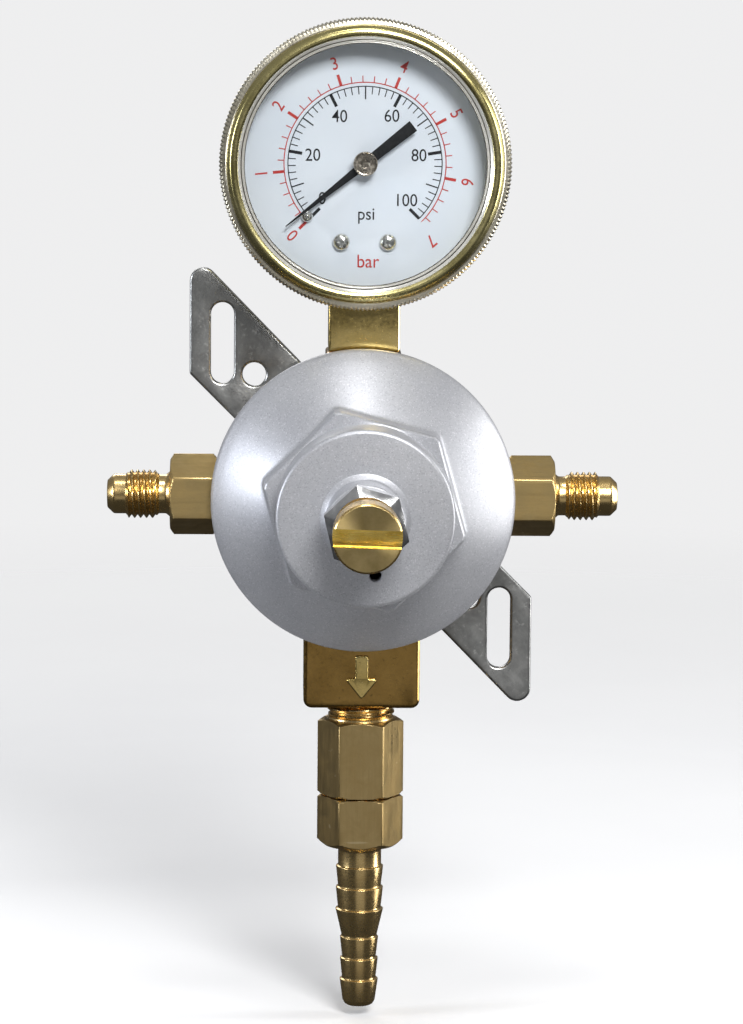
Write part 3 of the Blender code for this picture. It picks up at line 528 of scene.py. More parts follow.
def bar_brass(name, light, dark, rough, long_axis, seed):
    """Drawn hexagon bar: streaks along its length, small scratches and stains."""
    k = Nodes(name)
    k.set(Metallic=1.0)
    s = {"X": (0.05, 1.0, 1.0), "Z": (1.0, 1.0, 0.05)}[long_axis]
    streak = k.noise(1500.0, 4.0, 0.6, stretch=s, seed=seed)
    clouds = k.noise(220.0, 5.0, 0.62, seed=seed + 0.5, distortion=0.6)
    grain = k.noise(3600.0, 2.0, 0.5, seed=seed + 0.9)
    tone = k.mix(k.span(clouds, 0.0, 1.0, 0.3, 0.7), dark, light)
    tone = k.mix(k.span(streak, 0.0, 0.5, 0.45, 0.75), tone, tuple(0.8 * c for c in dark))
    scratch = k.span(k.noise(420.0, 2.0, 0.5, stretch=(1.0, 1.0, 0.12) if long_axis == "X" else (0.12, 1.0, 1.0), seed=seed + 1.3), 0.0, 1.0, 0.70, 0.72)
    tone = k.mix(k.math("MULTIPLY", scratch, 0.35), tone, (0.95, 0.8, 0.5))
    gloss = k.math("ADD", k.span(clouds, rough + 0.07, rough - 0.05, 0.3, 0.7), k.span(streak, -0.05, 0.06, 0.3, 0.7))
    normal = k.bump(streak, 0.000004, 1.0)
    normal = k.bump(grain, 0.0000035, 1.0, normal)
    return k.out(tone, gloss, normal)


BAR_X = bar_brass("brass_bar_x", (0.66, 0.49, 0.22), (0.50, 0.355, 0.145), 0.36, "X", 0.1)
BAR_Z = bar_brass("brass_bar_z", (0.60, 0.44, 0.20), (0.45, 0.315, 0.13), 0.34, "Z", 0.7)

# polished, lacquered forging: the body, its blocks and the gauge's socket
def polished(name, dark, light):
    k = Nodes(name)
    k.set(Metallic=1.0, Coat_Weight=0.25, Coat_Roughness=0.08)
    waves = k.noise(130.0, 4.0, 0.55, seed=0.2, distortion=0.5)
    grain = k.noise(1500.0, 4.0, 0.6, seed=0.6)
    tone = k.mix(k.span(waves, 0.0, 1.0, 0.3, 0.7), dark, light)
    specks = k.span(k.noise(1100.0, 4.0, 0.7, seed=1.1), 1.0, 0.0, 0.60, 0.74)
    tone = k.mix(specks, tuple(0.55 * c for c in dark), tone)
    return k.out(tone, k.span(grain, 0.15, 0.28, 0.3, 0.7), k.bump(grain, 0.000005, 1.0, k.bump(waves, 0.00005, 1.0)))


POLISHED = polished("brass_polished", (0.66, 0.48, 0.15), (0.86, 0.66, 0.26))
FORGED = polished("brass_forged", (0.31, 0.18, 0.042), (0.44, 0.265, 0.072))

# silver paint with flake and a light orange peel
k = Nodes("silver_flake_paint")
k.set(Metallic=0.55, Coat_Weight=0.2, Coat_Roughness=0.25)
flake = k.noise(5200.0, 2.0, 0.5, seed=0.1)
cell = k.t.nodes.new("ShaderNodeTexVoronoi")
cell.inputs["Scale"].default_value = 5200.0
k.link(k.tc, cell.inputs["Vector"])
sep = k.t.nodes.new("ShaderNodeSeparateColor")
k.link(cell.outputs["Color"], sep.inputs["Color"])
clouds = k.noise(90.0, 4.0, 0.55, seed=0.5)
tone = k.mix(k.span(clouds, 0.0, 1.0, 0.3, 0.7), (0.395, 0.40, 0.425), (0.44, 0.445, 0.465))
tone = k.mix(k.span(sep.outputs[0], 0.0, 0.55, 0.86, 1.0), tone, (0.66, 0.66, 0.69))
tone = k.mix(k.span(sep.outputs[1], 0.0, 0.45, 0.80, 1.0), tone, (0.20, 0.205, 0.225))
peel = k.noise(620.0, 3.0, 0.5, seed=0.9)
SILVER = k.out(tone, k.span(flake, 0.37, 0.52, 0.3, 0.7), k.bump(flake, 0.0000055, 1.0, k.bump(peel, 0.000012, 1.0)))

# bright nickel-chrome plate
k = Nodes("nickel_chrome_plate")
k.set(Metallic=1.0)
haze = k.noise(700.0, 4.0, 0.6, seed=0.3)
CHROME = k.out(k.ramp(haze, [(0.3, (0.70, 0.70, 0.71)), (0.7, (0.82, 0.82, 0.81))]), k.span(haze, 0.14, 0.24), k.bump(k.noise(2400.0, 3.0, 0.5, seed=0.9), 0.0000012, 1.0))

# zinc-plated sheet: cloudy grey with rolling lines along the strip
k = Nodes("zinc_plated_sheet")
k.set(Metallic=1.0)
turn = k.t.nodes.new("ShaderNodeMapping")
turn.inputs["Rotation"].default_value = (0.0, rad(-45), 0.0)
k.link(k.tc, turn.inputs["Vector"])
k.tc = turn.outputs["Vector"]
blotch = k.noise(95.0, 6.0, 0.62, seed=0.4, distortion=0.8)
roll = k.noise(1300.0, 4.0, 0.6, stretch=(0.05, 1.0, 1.0), seed=0.2)
grit = k.noise(2600.0, 3.0, 0.6, seed=0.7)
tone = k.mix(k.span(blotch, 0.0, 1.0, 0.3, 0.7), (0.25, 0.255, 0.25), (0.60, 0.60, 0.585))
cloud = k.noise(330.0, 5.0, 0.68, seed=1.4, distortion=0.5)
tone = k.mix(k.span(cloud, 0.55, 0.0, 0.32, 0.60), tone, (0.20, 0.20, 0.195))
fleck = k.span(k.noise(700.0, 4.0, 0.7, seed=0.9), 0.0, 0.6, 0.58, 0.70)
tone = k.mix(fleck, tone, (0.80, 0.80, 0.78))
tone = k.mix(k.span(roll, 0.0, 0.35, 0.5, 0.75), tone, (0.28, 0.28, 0.28))
ZINC = k.out(tone, k.math("ADD", k.span(blotch, 0.42, 0.28, 0.3, 0.7), k.span(grit, -0.05, 0.06, 0.3, 0.7)), k.bump(roll, 0.0000045, 1.0, k.bump(grit, 0.000005, 1.0)))

# bright small steel parts
k = Nodes("bright_steel")
k.set(Metallic=1.0)
haze = k.noise(1500.0, 4.0, 0.6, seed=0.2)
STEEL = k.out(k.ramp(haze, [(0.3, (0.50, 0.49, 0.47)), (0.7, (0.68, 0.67, 0.64))]), k.span(haze, 0.16, 0.30), k.bump(haze, 0.000003, 1.0))

k = Nodes("nickel_domes")
k.set(Metallic=0.93)
haze = k.noise(1800.0, 4.0, 0.6, seed=0.5)
DOMES = k.out(k.ramp(haze, [(0.3, (0.56, 0.55, 0.52)), (0.7, (0.88, 0.87, 0.83))]), k.span(haze, 0.17, 0.30), k.bump(haze, 0.000004, 1.0))

# spun and plated gauge shell, with fine spinning lines
def spun(name, light, dark, rough, lines, seed, metal=1.0):
    k = Nodes(name)
    k.set(Metallic=metal)
    clouds = k.noise(110.0, 4.0, 0.6, seed=seed)
    ring = k.rings(lines, "Y", (0, 0, GZ * MM), 0.3)
    tone = k.mix(k.span(clouds, 0.0, 1.0, 0.3, 0.7), dark, light)
    tone = k.mix(k.math("MULTIPLY", ring, 0.18), tone, dark)
    fine = k.noise(2200.0, 3.0, 0.6, seed=seed + 0.4)
    return k.out(tone, k.math("ADD", k.span(clouds, rough - 0.04, rough + 0.05, 0.3, 0.7), k.span(fine, -0.03, 0.03, 0.3, 0.7)), k.bump(ring, 0.0000015, 1.0, k.bump(fine, 0.000002, 1.0)))


GILT = spun("gilt_spun", (0.66, 0.585, 0.29), (0.50, 0.43, 0.16), 0.25, 1500.0, 0.2)
# painted shade: near-black gilt for the bezel grooves and the lip's inner edge beside the dial
GILT_PAINTED_SHADE = spun("gilt_painted_groove_shade", (0.10, 0.09, 0.07), (0.05, 0.045, 0.035), 0.45, 1500.0, 1.2)
GILT_PALE = spun("gilt_pale_rim", (0.78, 0.74, 0.62), (0.60, 0.55, 0.42), 0.30, 900.0, 0.6)
# painted highlight: a near-white, less metallic copy of the gilt that keeps the bezel's inner steps bright
GILT_PAINTED_HIGHLIGHT = spun("gilt_painted_highlight_step", (0.90, 0.89, 0.83), (0.74, 0.72, 0.65), 0.18, 1800.0, 0.9, 0.62)

# dial card: white enamel with a cool grey cast
k = Nodes("dial_enamel")
k.set(Specular_IOR_Level=0.35)
DIAL = k.out(k.ramp(k.noise(60.0, 3.0, 0.5, seed=0.3), [(0.3, (0.735, 0.775, 0.84)), (0.7, (0.79, 0.82, 0.87))]), k.span(k.noise(1200.0, 2.0, 0.5), 0.42, 0.55), k.bump(k.noise(900.0, 3.0, 0.5, seed=0.5), 0.000004, 1.0))


def ink(name, a, b, rough=0.5):
    k = Nodes(name)
    k.set(Specular_IOR_Level=0.2)
    n = k.noise(2500.0, 3.0, 0.6, seed=0.2)
    return k.out(k.ramp(n, [(0.35, a), (0.65, b)]), k.span(n, rough - 0.06, rough + 0.06), k.bump(n, 0.000002, 1.0))


BLACK_INK = ink("dial_ink_black", (0.012, 0.012, 0.014), (0.03, 0.03, 0.033))
RED_INK = ink("dial_ink_red", (0.50, 0.035, 0.03), (0.60, 0.07, 0.06))
POINTER_BLACK = ink("pointer_black_satin", (0.008, 0.008, 0.009), (0.02, 0.02, 0.021), 0.42)
RUBBER = ink("black_rubber", (0.016, 0.016, 0.017), (0.035, 0.035, 0.037), 0.68)

k = Nodes("pointer_hub_bronze")
k.set(Metallic=1.0, Anisotropic=0.5)
k.tangent("Y")
haze = k.noise(1600.0, 4.0, 0.65, seed=0.1)
ring = k.rings(900.0, "Y", (0, 0, GZ * MM), 0.6)
HUB = k.out(k.mix(k.span(haze, 0.0, 1.0, 0.3, 0.7), (0.34, 0.29, 0.23), (0.52, 0.46, 0.39)), k.span(haze, 0.20, 0.32), k.bump(ring, 0.000012, 1.0, k.bump(haze, 0.000006, 1.0)))

k = Nodes("movement_brass_stamped")
k.set(Metallic=1.0)
haze = k.noise(800.0, 4.0, 0.6, seed=0.1)
MOVEMENT = k.out(k.ramp(haze, [(0.3, (0.62, 0.44, 0.18)), (0.7, (0.76, 0.57, 0.27))]), k.span(haze, 0.22, 0.36), k.bump(haze, 0.000004, 1.0))

k = Nodes("machined_aluminium")
k.set(Metallic=1.0)
haze = k.noise(900.0, 4.0, 0.6, seed=0.1)
ALUMINIUM = k.out(k.ramp(haze, [(0.3, (0.62, 0.62, 0.63)), (0.7, (0.74, 0.74, 0.75))]), k.span(haze, 0.30, 0.42), k.bump(k.rings(1200.0, "Y"), 0.000003, 1.0))

# lens: what lies behind shows straight through, with the surface's own reflection on top
LENS = bpy.data.materials.new("lens_clear")
LENS.use_nodes = True
t = LENS.node_tree
t.nodes.remove(t.nodes["Principled BSDF"])
out = t.nodes["Material Output"]
edge_on = t.nodes.new("ShaderNodeLayerWeight")
edge_on.inputs["Blend"].default_value = 0.5
fres = t.nodes.new("ShaderNodeValToRGB")
for p, v in ((0.45, 0.035), (0.7, 0.09), (0.88, 0.32)):
    fres.color_ramp.elements.new(p).color = (v, v, v, 1)
fres.color_ramp.elements[0].color = (0.03, 0.03, 0.03, 1)
fres.color_ramp.elements[-1].color = (1, 1, 1, 1)
t.links.new(edge_on.outputs["Facing"], fres.inputs["Fac"])
see = t.nodes.new("ShaderNodeBsdfTransparent")
smear = t.nodes.new("ShaderNodeTexNoise")
smear.inputs["Scale"].default_value = 60.0
lens_tc = t.nodes.new("ShaderNodeTexCoord")
t.links.new(lens_tc.outputs["Object"], smear.inputs["Vector"])
tint = t.nodes.new("ShaderNodeValToRGB")
tint.color_ramp.elements[0].color = (0.955, 0.97, 0.975, 1)
tint.color_ramp.elements[1].color = (0.985, 0.99, 0.99, 1)
t.links.new(smear.outputs["Fac"], tint.inputs["Fac"])
t.links.new(tint.outputs["Color"], see.inputs["Color"])
shine = t.nodes.new("ShaderNodeBsdfGlossy")
shine.inputs["Roughness"].default_value = 0.03
both = t.nodes.new("ShaderNodeMixShader")
t.links.new(fres.outputs["Color"], both.inputs["Fac"])
t.links.new(see.outputs["BSDF"], both.inputs[1])
t.links.new(shine.outputs["BSDF"], both.inputs[2])
t.links.new(both.outputs["Shader"], out.inputs["Surface"])

# ================================================================ bonnet
Y, Z, X, G = along_y(), along_z(), along_x(), along_y(0.0, GZ)
TURN = 75.5
DOME = [(10.6, 30.1), (12.7, 28.3), (15.4, 25.6), (17.9, 22.9), (20.2, 20.2), (22.3, 17.5)]


def dome(h):
    """The dome's radius at a distance, straight past its ends."""
    pts = DOME
    if h <= pts[0][0]:
        a, b = pts[0], pts[1]
    elif h >= pts[-1][0]:
        a, b = pts[-2], pts[-1]
    else:
        i = max(j for j in range(len(pts) - 1) if pts[j][0] <= h)
        a, b = pts[i], pts[i + 1]
        s = (h - a[0]) / (b[0] - a[0])
        m = [(pts[min(j + 1, len(pts) - 1)][1] - pts[max(j - 1, 0)][1]) / (pts[min(j + 1, len(pts) - 1)][0] - pts[max(j - 1, 0)][0]) for j in (i, i + 1)]
        w = b[0] - a[0]
        return (2 * s**3 - 3 * s**2 + 1) * a[1] + (s**3 - 2 * s**2 + s) * w * m[0] + (3 * s**2 - 2 * s**3) * b[1] + (s**3 - s**2) * w * m[1]
    return a[1] + (b[1] - a[1]) * (h - a[0]) / (b[0] - a[0])


def smax(a, b, k):
    """The larger of two lengths with a fillet between them."""
    d = max(0.0, k - abs(a - b))
    return max(a, b) + d * d / (4 * k)


def bonnet_shape(r, h, t):
    if r < 15.0 or h < 13.0 or h > 27.25:
        return r
    env = min(hex_r(off_of(t, TURN), 36.0, 1.6), 20.45)
    if h > 26.3:
        e = (h - 26.3) / 0.9
        env -= 0.55 * e * e
    return smax(r, env, 0.7)


rows = rounded([(26.3, 8.3, 0), (30.2, 8.3, 0.25), (30.45, 8.6, 0.2), (30.45, 9.9, 0.6), (30.1, 10.6, 0.5)], steps=4)
rows += [(smax(dome(h), 17.5, 0.9), h) for h in [10.9 + 0.3 * i for i in range(52)] if h < 26.3]
rows += [(17.5, 26.3), (17.5, 26.6), (17.5, 26.85), (17.5, 27.0), (17.5, 27.12), (17.5, 27.2)]
rows += rounded([(17.5, 27.26, 0), (17.5, 37.3, 0.85), (8.9, 37.25, 0.5), (7.75, 37.9, 0.5), (7.7, 45.5, 0.45), (5.0, 45.5, 0.2), (5.0, 34.8), (13.0, 34.8), (13.0, 22.0), (21.0, 14.0), (21.0, 12.4), (26.3, 12.4, 0)], steps=5)
bonnet = lathe("bonnet_painted", rows, Y, [SILVER], hex_angles(TURN, 36.0, 1.6, 30, 10), bonnet_shape, closed=True, angle=32)
combine(bonnet, [lathe("cut", [(0, 34.0), (1.15, 34.0), (1.15, 37.0), (1.5, 37.6), (1.5, 39.0), (0, 39.0)], along_y(2.05, -11.0), angles=ring_angles(32))], angle=32)
done(bonnet, "regulator", "silver_paint", "bonnet")

# ================================================================ adjusting screw, nut, washer
def thread_shape(root, crest, h0, h1, pitch, hand=1.0, fade0=1.0, fade1=1.0):
    """Helical V thread between h0 and h1 that runs out at its ends."""
    def shape(r, h, t):
        if not (min(h0, h1) < h < max(h0, h1)) or r < root - 0.02:
            return r
        x = (h / pitch - hand * t / (2 * math.pi)) % 1.0
        v = max(0.0, min(1.0, (abs(2 * x - 1) - 0.10) / 0.78))
        lo, hi = min(h0, h1), max(h0, h1)
        e = min(1.0, (h - lo) / fade0, (hi - h) / fade1)
        return min(r, root + (crest - root) * v * max(0.0, e) if e < 1 else root + (crest - root) * v)
    return shape


screw_thread = thread_shape(4.05, 4.7, 32.0, 57.6, 1.5)
rows = rounded([(0, 31.3, 0), (3.6, 31.3, 0.2), (4.7, 32.4, 0), (4.7, 57.4, 0), (4.05, 57.6, 0.2), (4.1, 58.0, 0), (6.35, 58.0, 0.1), (6.67, 58.3, 0.1), (6.67, 64.65, 0.12), (6.32, 65.0, 0.12), (0, 65.0, 0)], steps=3)
rows = refine(rows, 32.3, 57.5, 0.16)
screw = lathe("adjusting_screw_turned", rows, Y, [TURNED_Y], ring_angles(64), screw_thread, angle=30)
c, s = math.cos(rad(-1.75)), math.sin(rad(-1.75))
slot_cut = block("cut", (-9.0, -FIT - 67.0, -1.75), (9.0, -FIT - 62.0, 1.75), rest=0.12)
slot_cut.data.transform(Matrix(((c, 0, -s, 0), (0, 1, 0, 0), (s, 0, c, 0), (0, 0, 0, 1))))
combine(screw, [slot_cut], angle=30)

# face and slot finishes of the screw
k = Nodes("brass_faced")
k.set(Metallic=1.0, Anisotropic=0.75)
k.tangent("Y")
clouds = k.noise(420.0, 5.0, 0.65, seed=0.3)
ring = k.rings(2300.0, "Y", (0, 0, 0), 0.4)
tone = k.mix(k.span(clouds, 0.0, 1.0, 0.3, 0.7), (0.50, 0.37, 0.15), (0.66, 0.50, 0.23))
FACED = k.out(tone, k.span(clouds, 0.36, 0.27, 0.3, 0.7), k.bump(ring, 0.0000035, 1.0, k.bump(k.noise(2400.0, 3.0, 0.6), 0.000003, 1.0)))
k = Nodes("brass_slot")
k.set(Metallic=1.0)
cuts = k.noise(1900.0, 3.0, 0.6, stretch=(0.05, 1.0, 1.0), seed=0.4)
blot = k.noise(500.0, 4.0, 0.6, seed=0.8)
tone = k.mix(k.span(blot, 0.0, 1.0, 0.3, 0.7), (0.80, 0.52, 0.08), (0.98, 0.72, 0.20))
SLOT = k.out(tone, k.span(cuts, 0.16, 0.32, 0.3, 0.7), k.bump(cuts, 0.000007, 1.0))
me = screw.data
me.materials.clear()
for m in (TURNED_Y, FACED, SLOT):
    me.materials.append(m)
for p in me.polygons:
    p.material_index = 0
    y = -p.center.y / MM - FIT
    if y > 64.85 and p.normal.y < -0.8:
        p.material_index = 1
    elif 61.9 < y < 65.01 and abs(p.center.z * c - p.center.x * s) / MM < 1.8 and (abs(p.normal.y) > 0.9 or abs(p.normal.z) > 0.9) and (p.center.x**2 + p.center.z**2) ** 0.5 / MM < 6.66:
        p.material_index = 2
done(screw, "adjusting_screw", "brass", "adjusting_screw")

nut_rows = rounded([(5.0, 46.8, 0), (7.3, 46.8, 0.1), (8.6, 47.4, 0), (8.6, 50.45, 0.0), (6.25, 51.5, 0.15), (5.55, 51.5, 0.1), (5.0, 50.9, 0)], steps=3)
nut_rows = refine(nut_rows, 46.8, 47.45, 0.15)
nut_rows = refine(nut_rows, 50.4, 51.45, 0.12)
nut = lathe("lock_nut_plated", nut_rows, Y, [CHROME], hex_angles(73.3, 14.8, 0.35, 14, 6), lambda r, h, t: min(r, hex_r(off_of(t, 73.3), 14.8, 0.35)), closed=True, angle=24)
done(nut, "lock_nut", "nickel_chrome", "lock_nut")
done(lathe("lock_washer_plated", rounded([(5.0, 45.8, 0), (7.0, 45.8, 0.15), (7.0, 46.5, 0.15), (5.0, 46.5, 0)], steps=3), Y, [STEEL], ring_angles(72), closed=True), "lock_washer", "steel", "lock_washer")

# ================================================================ valve body
body = lathe(
    "valve_body_forged",
    rounded([(0, -11.2, 0), (19.0, -11.2, 0.5), (20.0, -10.2, 0.5), (20.0, 2.0, 1.2), (27.4, 3.5, 0.5), (28.0, 4.1, 0.4), (28.0, 8.0, 0.2), (26.0, 8.0, 0), (26.0, 9.5, 0.15), (0, 9.5, 0)], steps=4),
    Y, [FORGED], ring_angles(128),
)
lower = block(
    "cut", (-11.7, -FIT - 7.9, -42.4), (11.7, -FIT + 9.5, -12.0),
    bevels=[(lambda m, d: abs(d.y) > 0.9 and m.z < -40, 1.7)], rest=0.75,
)
upper = block("cut", (-7.6, -FIT - 7.6, 12.0), (7.6, -FIT + 7.6, 29.3), rest=0.6)
bosses = [lathe("cut", rounded([(0, s * 8.0, 0), (7.8, s * 8.0, 0), (7.8, s * 29.0, 0.5), (0, s * 29.0, 0)], steps=4), X, angles=ring_angles(64)) for s in (-1, 1)]
combine(body, [lower, upper, *bosses], "UNION")
cuts = [lathe("cut", [(0, 4.3), (22.0, 4.3), (22.0, 12.0), (0, 12.0)], Y, angles=ring_angles(96))]
cuts.append(lathe("cut", [(0, -13.0), (8.0, -13.0), (8.0, -11.2), (7.5, -10.7), (7.5, 0.5), (4.3, 0.5), (4.3, 5.5), (0, 5.5)], Y, angles=ring_angles(64)))
cuts += [lathe("cut", [(0, s * 6.8), (3.0, s * 6.8), (3.0, s * 19.7), (6.6, s * 19.7), (6.6, s * 31.0), (0, s * 31.0)], X, angles=ring_angles(48)) for s in (-1, 1)]
cuts.append(lathe("cut", [(0, -44.0), (7.6, -44.0), (7.6, -42.4), (7.05, -41.6), (7.05, -33.2), (2.5, -32.0), (2.5, -15.5), (0, -15.5)], Z, angles=ring_angles(48)))
cuts.append(lathe("cut", [(0, 31.0), (5.2, 31.0), (5.2, 19.6), (2.0, 18.6), (2.0, 15.5), (0, 15.5)], Z, angles=ring_angles(48)))
cuts += [lathe("cut", [(0, -13.0), (2.1, -13.0), (2.1, -5.5), (0, -5.0)], along_y(s * 9.9, -s * 9.9), angles=ring_angles(24)) for s in (-1, 1)]
combine(body, cuts)
arrow = round_poly([(-1.3, -31.6, 0.4), (1.3, -31.6, 0.4), (1.3, -36.2, 0.25), (3.5, -36.2, 0.5), (0.0, -40.6, 0.5), (-3.5, -36.2, 0.5), (-1.3, -36.2, 0.25)], 4)
combine(body, [plate("cut", arrow, [], 7.2, 8.6, edge=0.3)], "UNION")
me = body.data
me.materials.clear()
for m in (FORGED, POLISHED):  # the raised arrow's rim and face are worn bright
    me.materials.append(m)
for p in me.polygons:
    x, y, z = (v / MM for v in p.center)
    p.material_index = 1 if -y - FIT > 8.02 and abs(x) < 3.6 and -40.8 < z < -31.5 else 0
done(body, "regulator", "brass", "valve_body")

# ================================================================ inlet fittings
FIT_AF, FIT_RHO = 14.3, 0.28
fit_thread = thread_shape(4.25, 4.9, 41.35, 47.45, 1.2, fade0=0.5, fade1=0.25)
body_thread = thread_shape(5.7, 6.3, 20.6, 28.6, 1.34)
for side, s in (("left", -1.0), ("right", 1.0)):
    path = [
        (5.8, 20.2, 0), (6.3, 20.9, 0), (6.3, 28.6, 0), (5.9, 28.9, 0.1), (6.0, 29.3, 0.1), (7.25, 29.3, 0), (8.28, 30.1, 0), (8.28, 37.95, 0), (7.0, 38.75, 0.1),
        (4.6, 38.8, 0.45), (3.95, 39.6, 0.6), (3.95, 41.0, 0.3), (4.3, 41.35, 0), (4.9, 41.9, 0), (4.9, 47.1, 0), (4.3, 47.45, 0.15), (4.0, 47.7, 0.1),
        (4.0, 50.1, 0.7), (2.75, 51.4, 0.35), (2.3, 51.45, 0.1), (1.6, 51.1, 0.1), (1.6, 27.0, 0), (3.6, 26.0, 0), (3.6, 20.2, 0),
    ]
    rows = rounded(path, steps=3)
    rows = refine(rows, 41.35, 47.45, 0.11)
    rows = refine(rows, 29.3, 30.15, 0.13)
    rows = refine(rows, 37.9, 38.75, 0.13)
    rows = refine(rows, 20.2, 28.7, 0.3)

    def shape(r, h, t, s=s):
        h = abs(h)
        if 29.3 <= h <= 38.8 and r > 6.5:
            return min(r, hex_r(off_of(t, 180.0), FIT_AF, FIT_RHO))
        if 41.3 < h < 47.5:
            return fit_thread(r, h, s * t)
        return body_thread(r, h, s * t) if h < 28.7 and r > 5.0 else r

    f = lathe(
        f"inlet_fitting_{side}_turned", [(r, s * h) for r, h in rows], X, [TURNED_X, BAR_X], hex_angles(180.0, FIT_AF, FIT_RHO, 12, 6), shape, closed=True,
        mat_at=lambda r, h: 1 if 29.2 < abs(h) < 38.72 and r > 6.9 else 0, angle=26,
    )
    done(f, "regulator", "brass", f"inlet_fitting_{side}")

# ================================================================ outlet: check valve and hose barb
AF, RHO = 15.2, 0.3
nip_thread = thread_shape(6.3, 6.85, -45.1, -33.9, 1.34, fade0=0.5, fade1=0.6)


def out_shape(r, h, t):
    if -71.9 < h < -45.6 and r > 6.9:
        return min(r, hex_r(off_of(t, -90.0), AF, RHO))
    return nip_thread(r, h, t) if -45.2 < h < -33.8 and r > 5.0 else r


rows = rounded([
    (6.0, -33.7, 0), (6.75, -34.4, 0), (6.85, -44.2, 0), (6.6, -45.2, 0.2), (6.65, -45.6, 0.1), (7.4, -45.62, 0), (8.8, -46.35, 0), (8.8, -60.7, 0), (8.1, -61.15, 0.1),
    (7.6, -61.2, 0.05), (5.3, -61.2, 0), (5.3, -54.4, 0), (2.2, -54.4, 0), (2.2, -53.4, 0), (3.5, -52.4, 0), (3.5, -33.7, 0),
], steps=3)
rows = refine(rows, -33.7, -45.2, 0.13)
rows = refine(rows, -45.62, -46.4, 0.12)
rows = refine(rows, -60.6, -61.16, 0.12)
check = lathe("check_valve_body_turned", rows, Z, [TURNED_Z, BAR_Z], hex_angles(-90.0, AF, RHO, 12, 6), out_shape, closed=True, mat_at=lambda r, h: 1 if -61.18 < h < -45.6 and r > 7.0 else 0, angle=26)
done(check, "regulator", "brass", "check_valve_body")

ridges = ((-76.2, 4.82), (-80.6, 4.82), (-85.1, 4.88), (-91.0, 3.9), (-95.4, 3.88), (-99.8, 3.92))
path = [(1.6, -59.6, 0), (4.7, -59.6, 0.1), (5.0, -59.9, 0.1), (5.0, -61.5, 0), (7.6, -61.5, 0.05), (8.1, -61.55, 0.1), (8.8, -62.0, 0), (8.8, -70.6, 0), (7.2, -71.75, 0.15), (5.1, -71.85, 0.4), (4.4, -72.8, 0.5)]
for i, (z, r) in enumerate(ridges):
    after = ridges[i + 1][0] if i + 1 < len(ridges) else -104.2
    low = {2: 3.62, 5: 3.3}.get(i, r - 0.42)
    above = path[-1][0]
    path += [(above, z + 0.16, 0.08), (r, z, 0.14)]
    path += [(low, after + 0.5 if i + 1 < len(ridges) else after, 0.15)]
path += [(2.95, -104.9, 0.2), (2.5, -105.2, 0.1), (1.75, -105.2, 0.1), (1.6, -105.0, 0)]
rows = rounded(path, steps=3)
rows = refine(rows, -61.52, -62.1, 0.12)
rows = refine(rows, -70.5, -71.76, 0.14)
barb = lathe("hose_barb_turned", rows, Z, [TURNED_Z, BAR_Z], hex_angles(-90.0, AF, RHO, 12, 6), out_shape, closed=True, mat_at=lambda r, h: 1 if -71.76 < h < -61.5 and r > 6.9 else 0, angle=26)
done(barb, "regulator", "brass", "hose_barb")

# ================================================================ wall bracket
R2 = math.sqrt(2.0)


def strip(s, t):
    return ((s + t) / R2, (t - s) / R2)


half = [(-35.25, 9.5 * R2 + 35.25, 2.75), (-35.25, -8.7 * R2 + 35.25, 1.1), (*strip(-12.0, -8.7), 6.0)]
outline = round_poly(half + [(-x, -z, r) for x, z, r in half], 10)
slot_loop = [(2.35 * math.cos(rad(a)), 5.95 + 2.35 * math.sin(rad(a))) for a in range(0, 181, 12)]
slot_loop += [(-x, -z) for x, z in slot_loop]
holes = []
for s in (1, -1):
    holes.append([(-s * 28.55 + x, s * 29.3 + z) for x, z in slot_loop])
    holes.append(circle(-s * 22.04, s * 22.9, 2.4, 40))
    holes.append(circle(-s * 9.9, s * 9.9, 2.15, 28))
holes.append(circle(0, 0, 8.4, 56))


def bracket_bend(x, z):
    s = abs((x - z) / R2)
    u = min(1.0, max(0.0, (27.7 - s) / 3.6))
    return -2.5 * (0.45 * u + 0.55 * u * u * (3 - 2 * u))


lines = []
for s in [v for v in (24.1, 24.6, 25.1, 25.6, 26.2, 26.7, 27.2, 27.7)]:
    for q in (-s, s):
        px, pz = strip(q, 0.0)
        lines.append(((px, 0.0, pz), (1 / R2, 0.0, -1 / R2)))
bracket = plate("wall_bracket_plated", outline, holes, -FIT, -FIT + 2.0, [ZINC], edge=0.55, bend=bracket_bend, lines=lines, angle=30)
done(bracket, "regulator", "zinc_steel", "wall_bracket")

for i, s in enumerate((-1, 1)):
    place = along_y(s * 9.9, -s * 9.9)
    sc = lathe(f"bracket_screw_{i + 1}_plated", rounded([(0, -6.2, 0), (1.5, -6.2, 0.1), (1.8, -6.6, 0.1), (1.8, -13.8, 0.05), (3.5, -13.8, 0.15), (3.5, -14.4, 0.5), (2.4, -15.4, 0.8), (0, -15.5, 0)], steps=4), place, [STEEL], ring_angles(48))
    arms = [block("cut", (s * 9.9 - w, -FIT + 14.6, -s * 9.9 - v), (s * 9.9 + w, -FIT + 16.5, -s * 9.9 + v), rest=0.05) for w, v in ((1.7, 0.42), (0.42, 1.7))]
    combine(sc, arms)
    done(sc, "regulator", "steel", f"bracket_screw_{i + 1}")

cap = lathe(
    "valve_cap_turned",
    rounded([(0, -10.9, 0), (1.8, -10.9, 0), (1.8, -8.6, 0), (7.0, -8.6, 0), (7.2, -8.8, 0), (7.2, -9.4, 0.1), (6.2, -9.4, 0.1), (6.2, -10.8, 0.1), (7.2, -10.8, 0.1), (7.2, -12.9, 0.3), (6.9, -13.2, 0.3), (0, -13.2, 0)], steps=3),
    Y, [TURNED_Y], ring_angles(72),
)
combine(cap, [block("cut", (-9.0, -FIT + 12.4, -0.8), (9.0, -FIT + 14.5, 0.8), rest=0.08)])
done(cap, "regulator", "brass", "valve_cap")
oring = lathe("valve_cap_oring_moulded", [(6.85 + 0.52 * math.cos(rad(a)), -10.1 + 0.52 * math.sin(rad(a))) for a in range(0, 360, 24)], Y, [RUBBER], ring_angles(72), closed=True, angle=60)
done(oring, "regulator", "rubber", "valve_cap_oring")

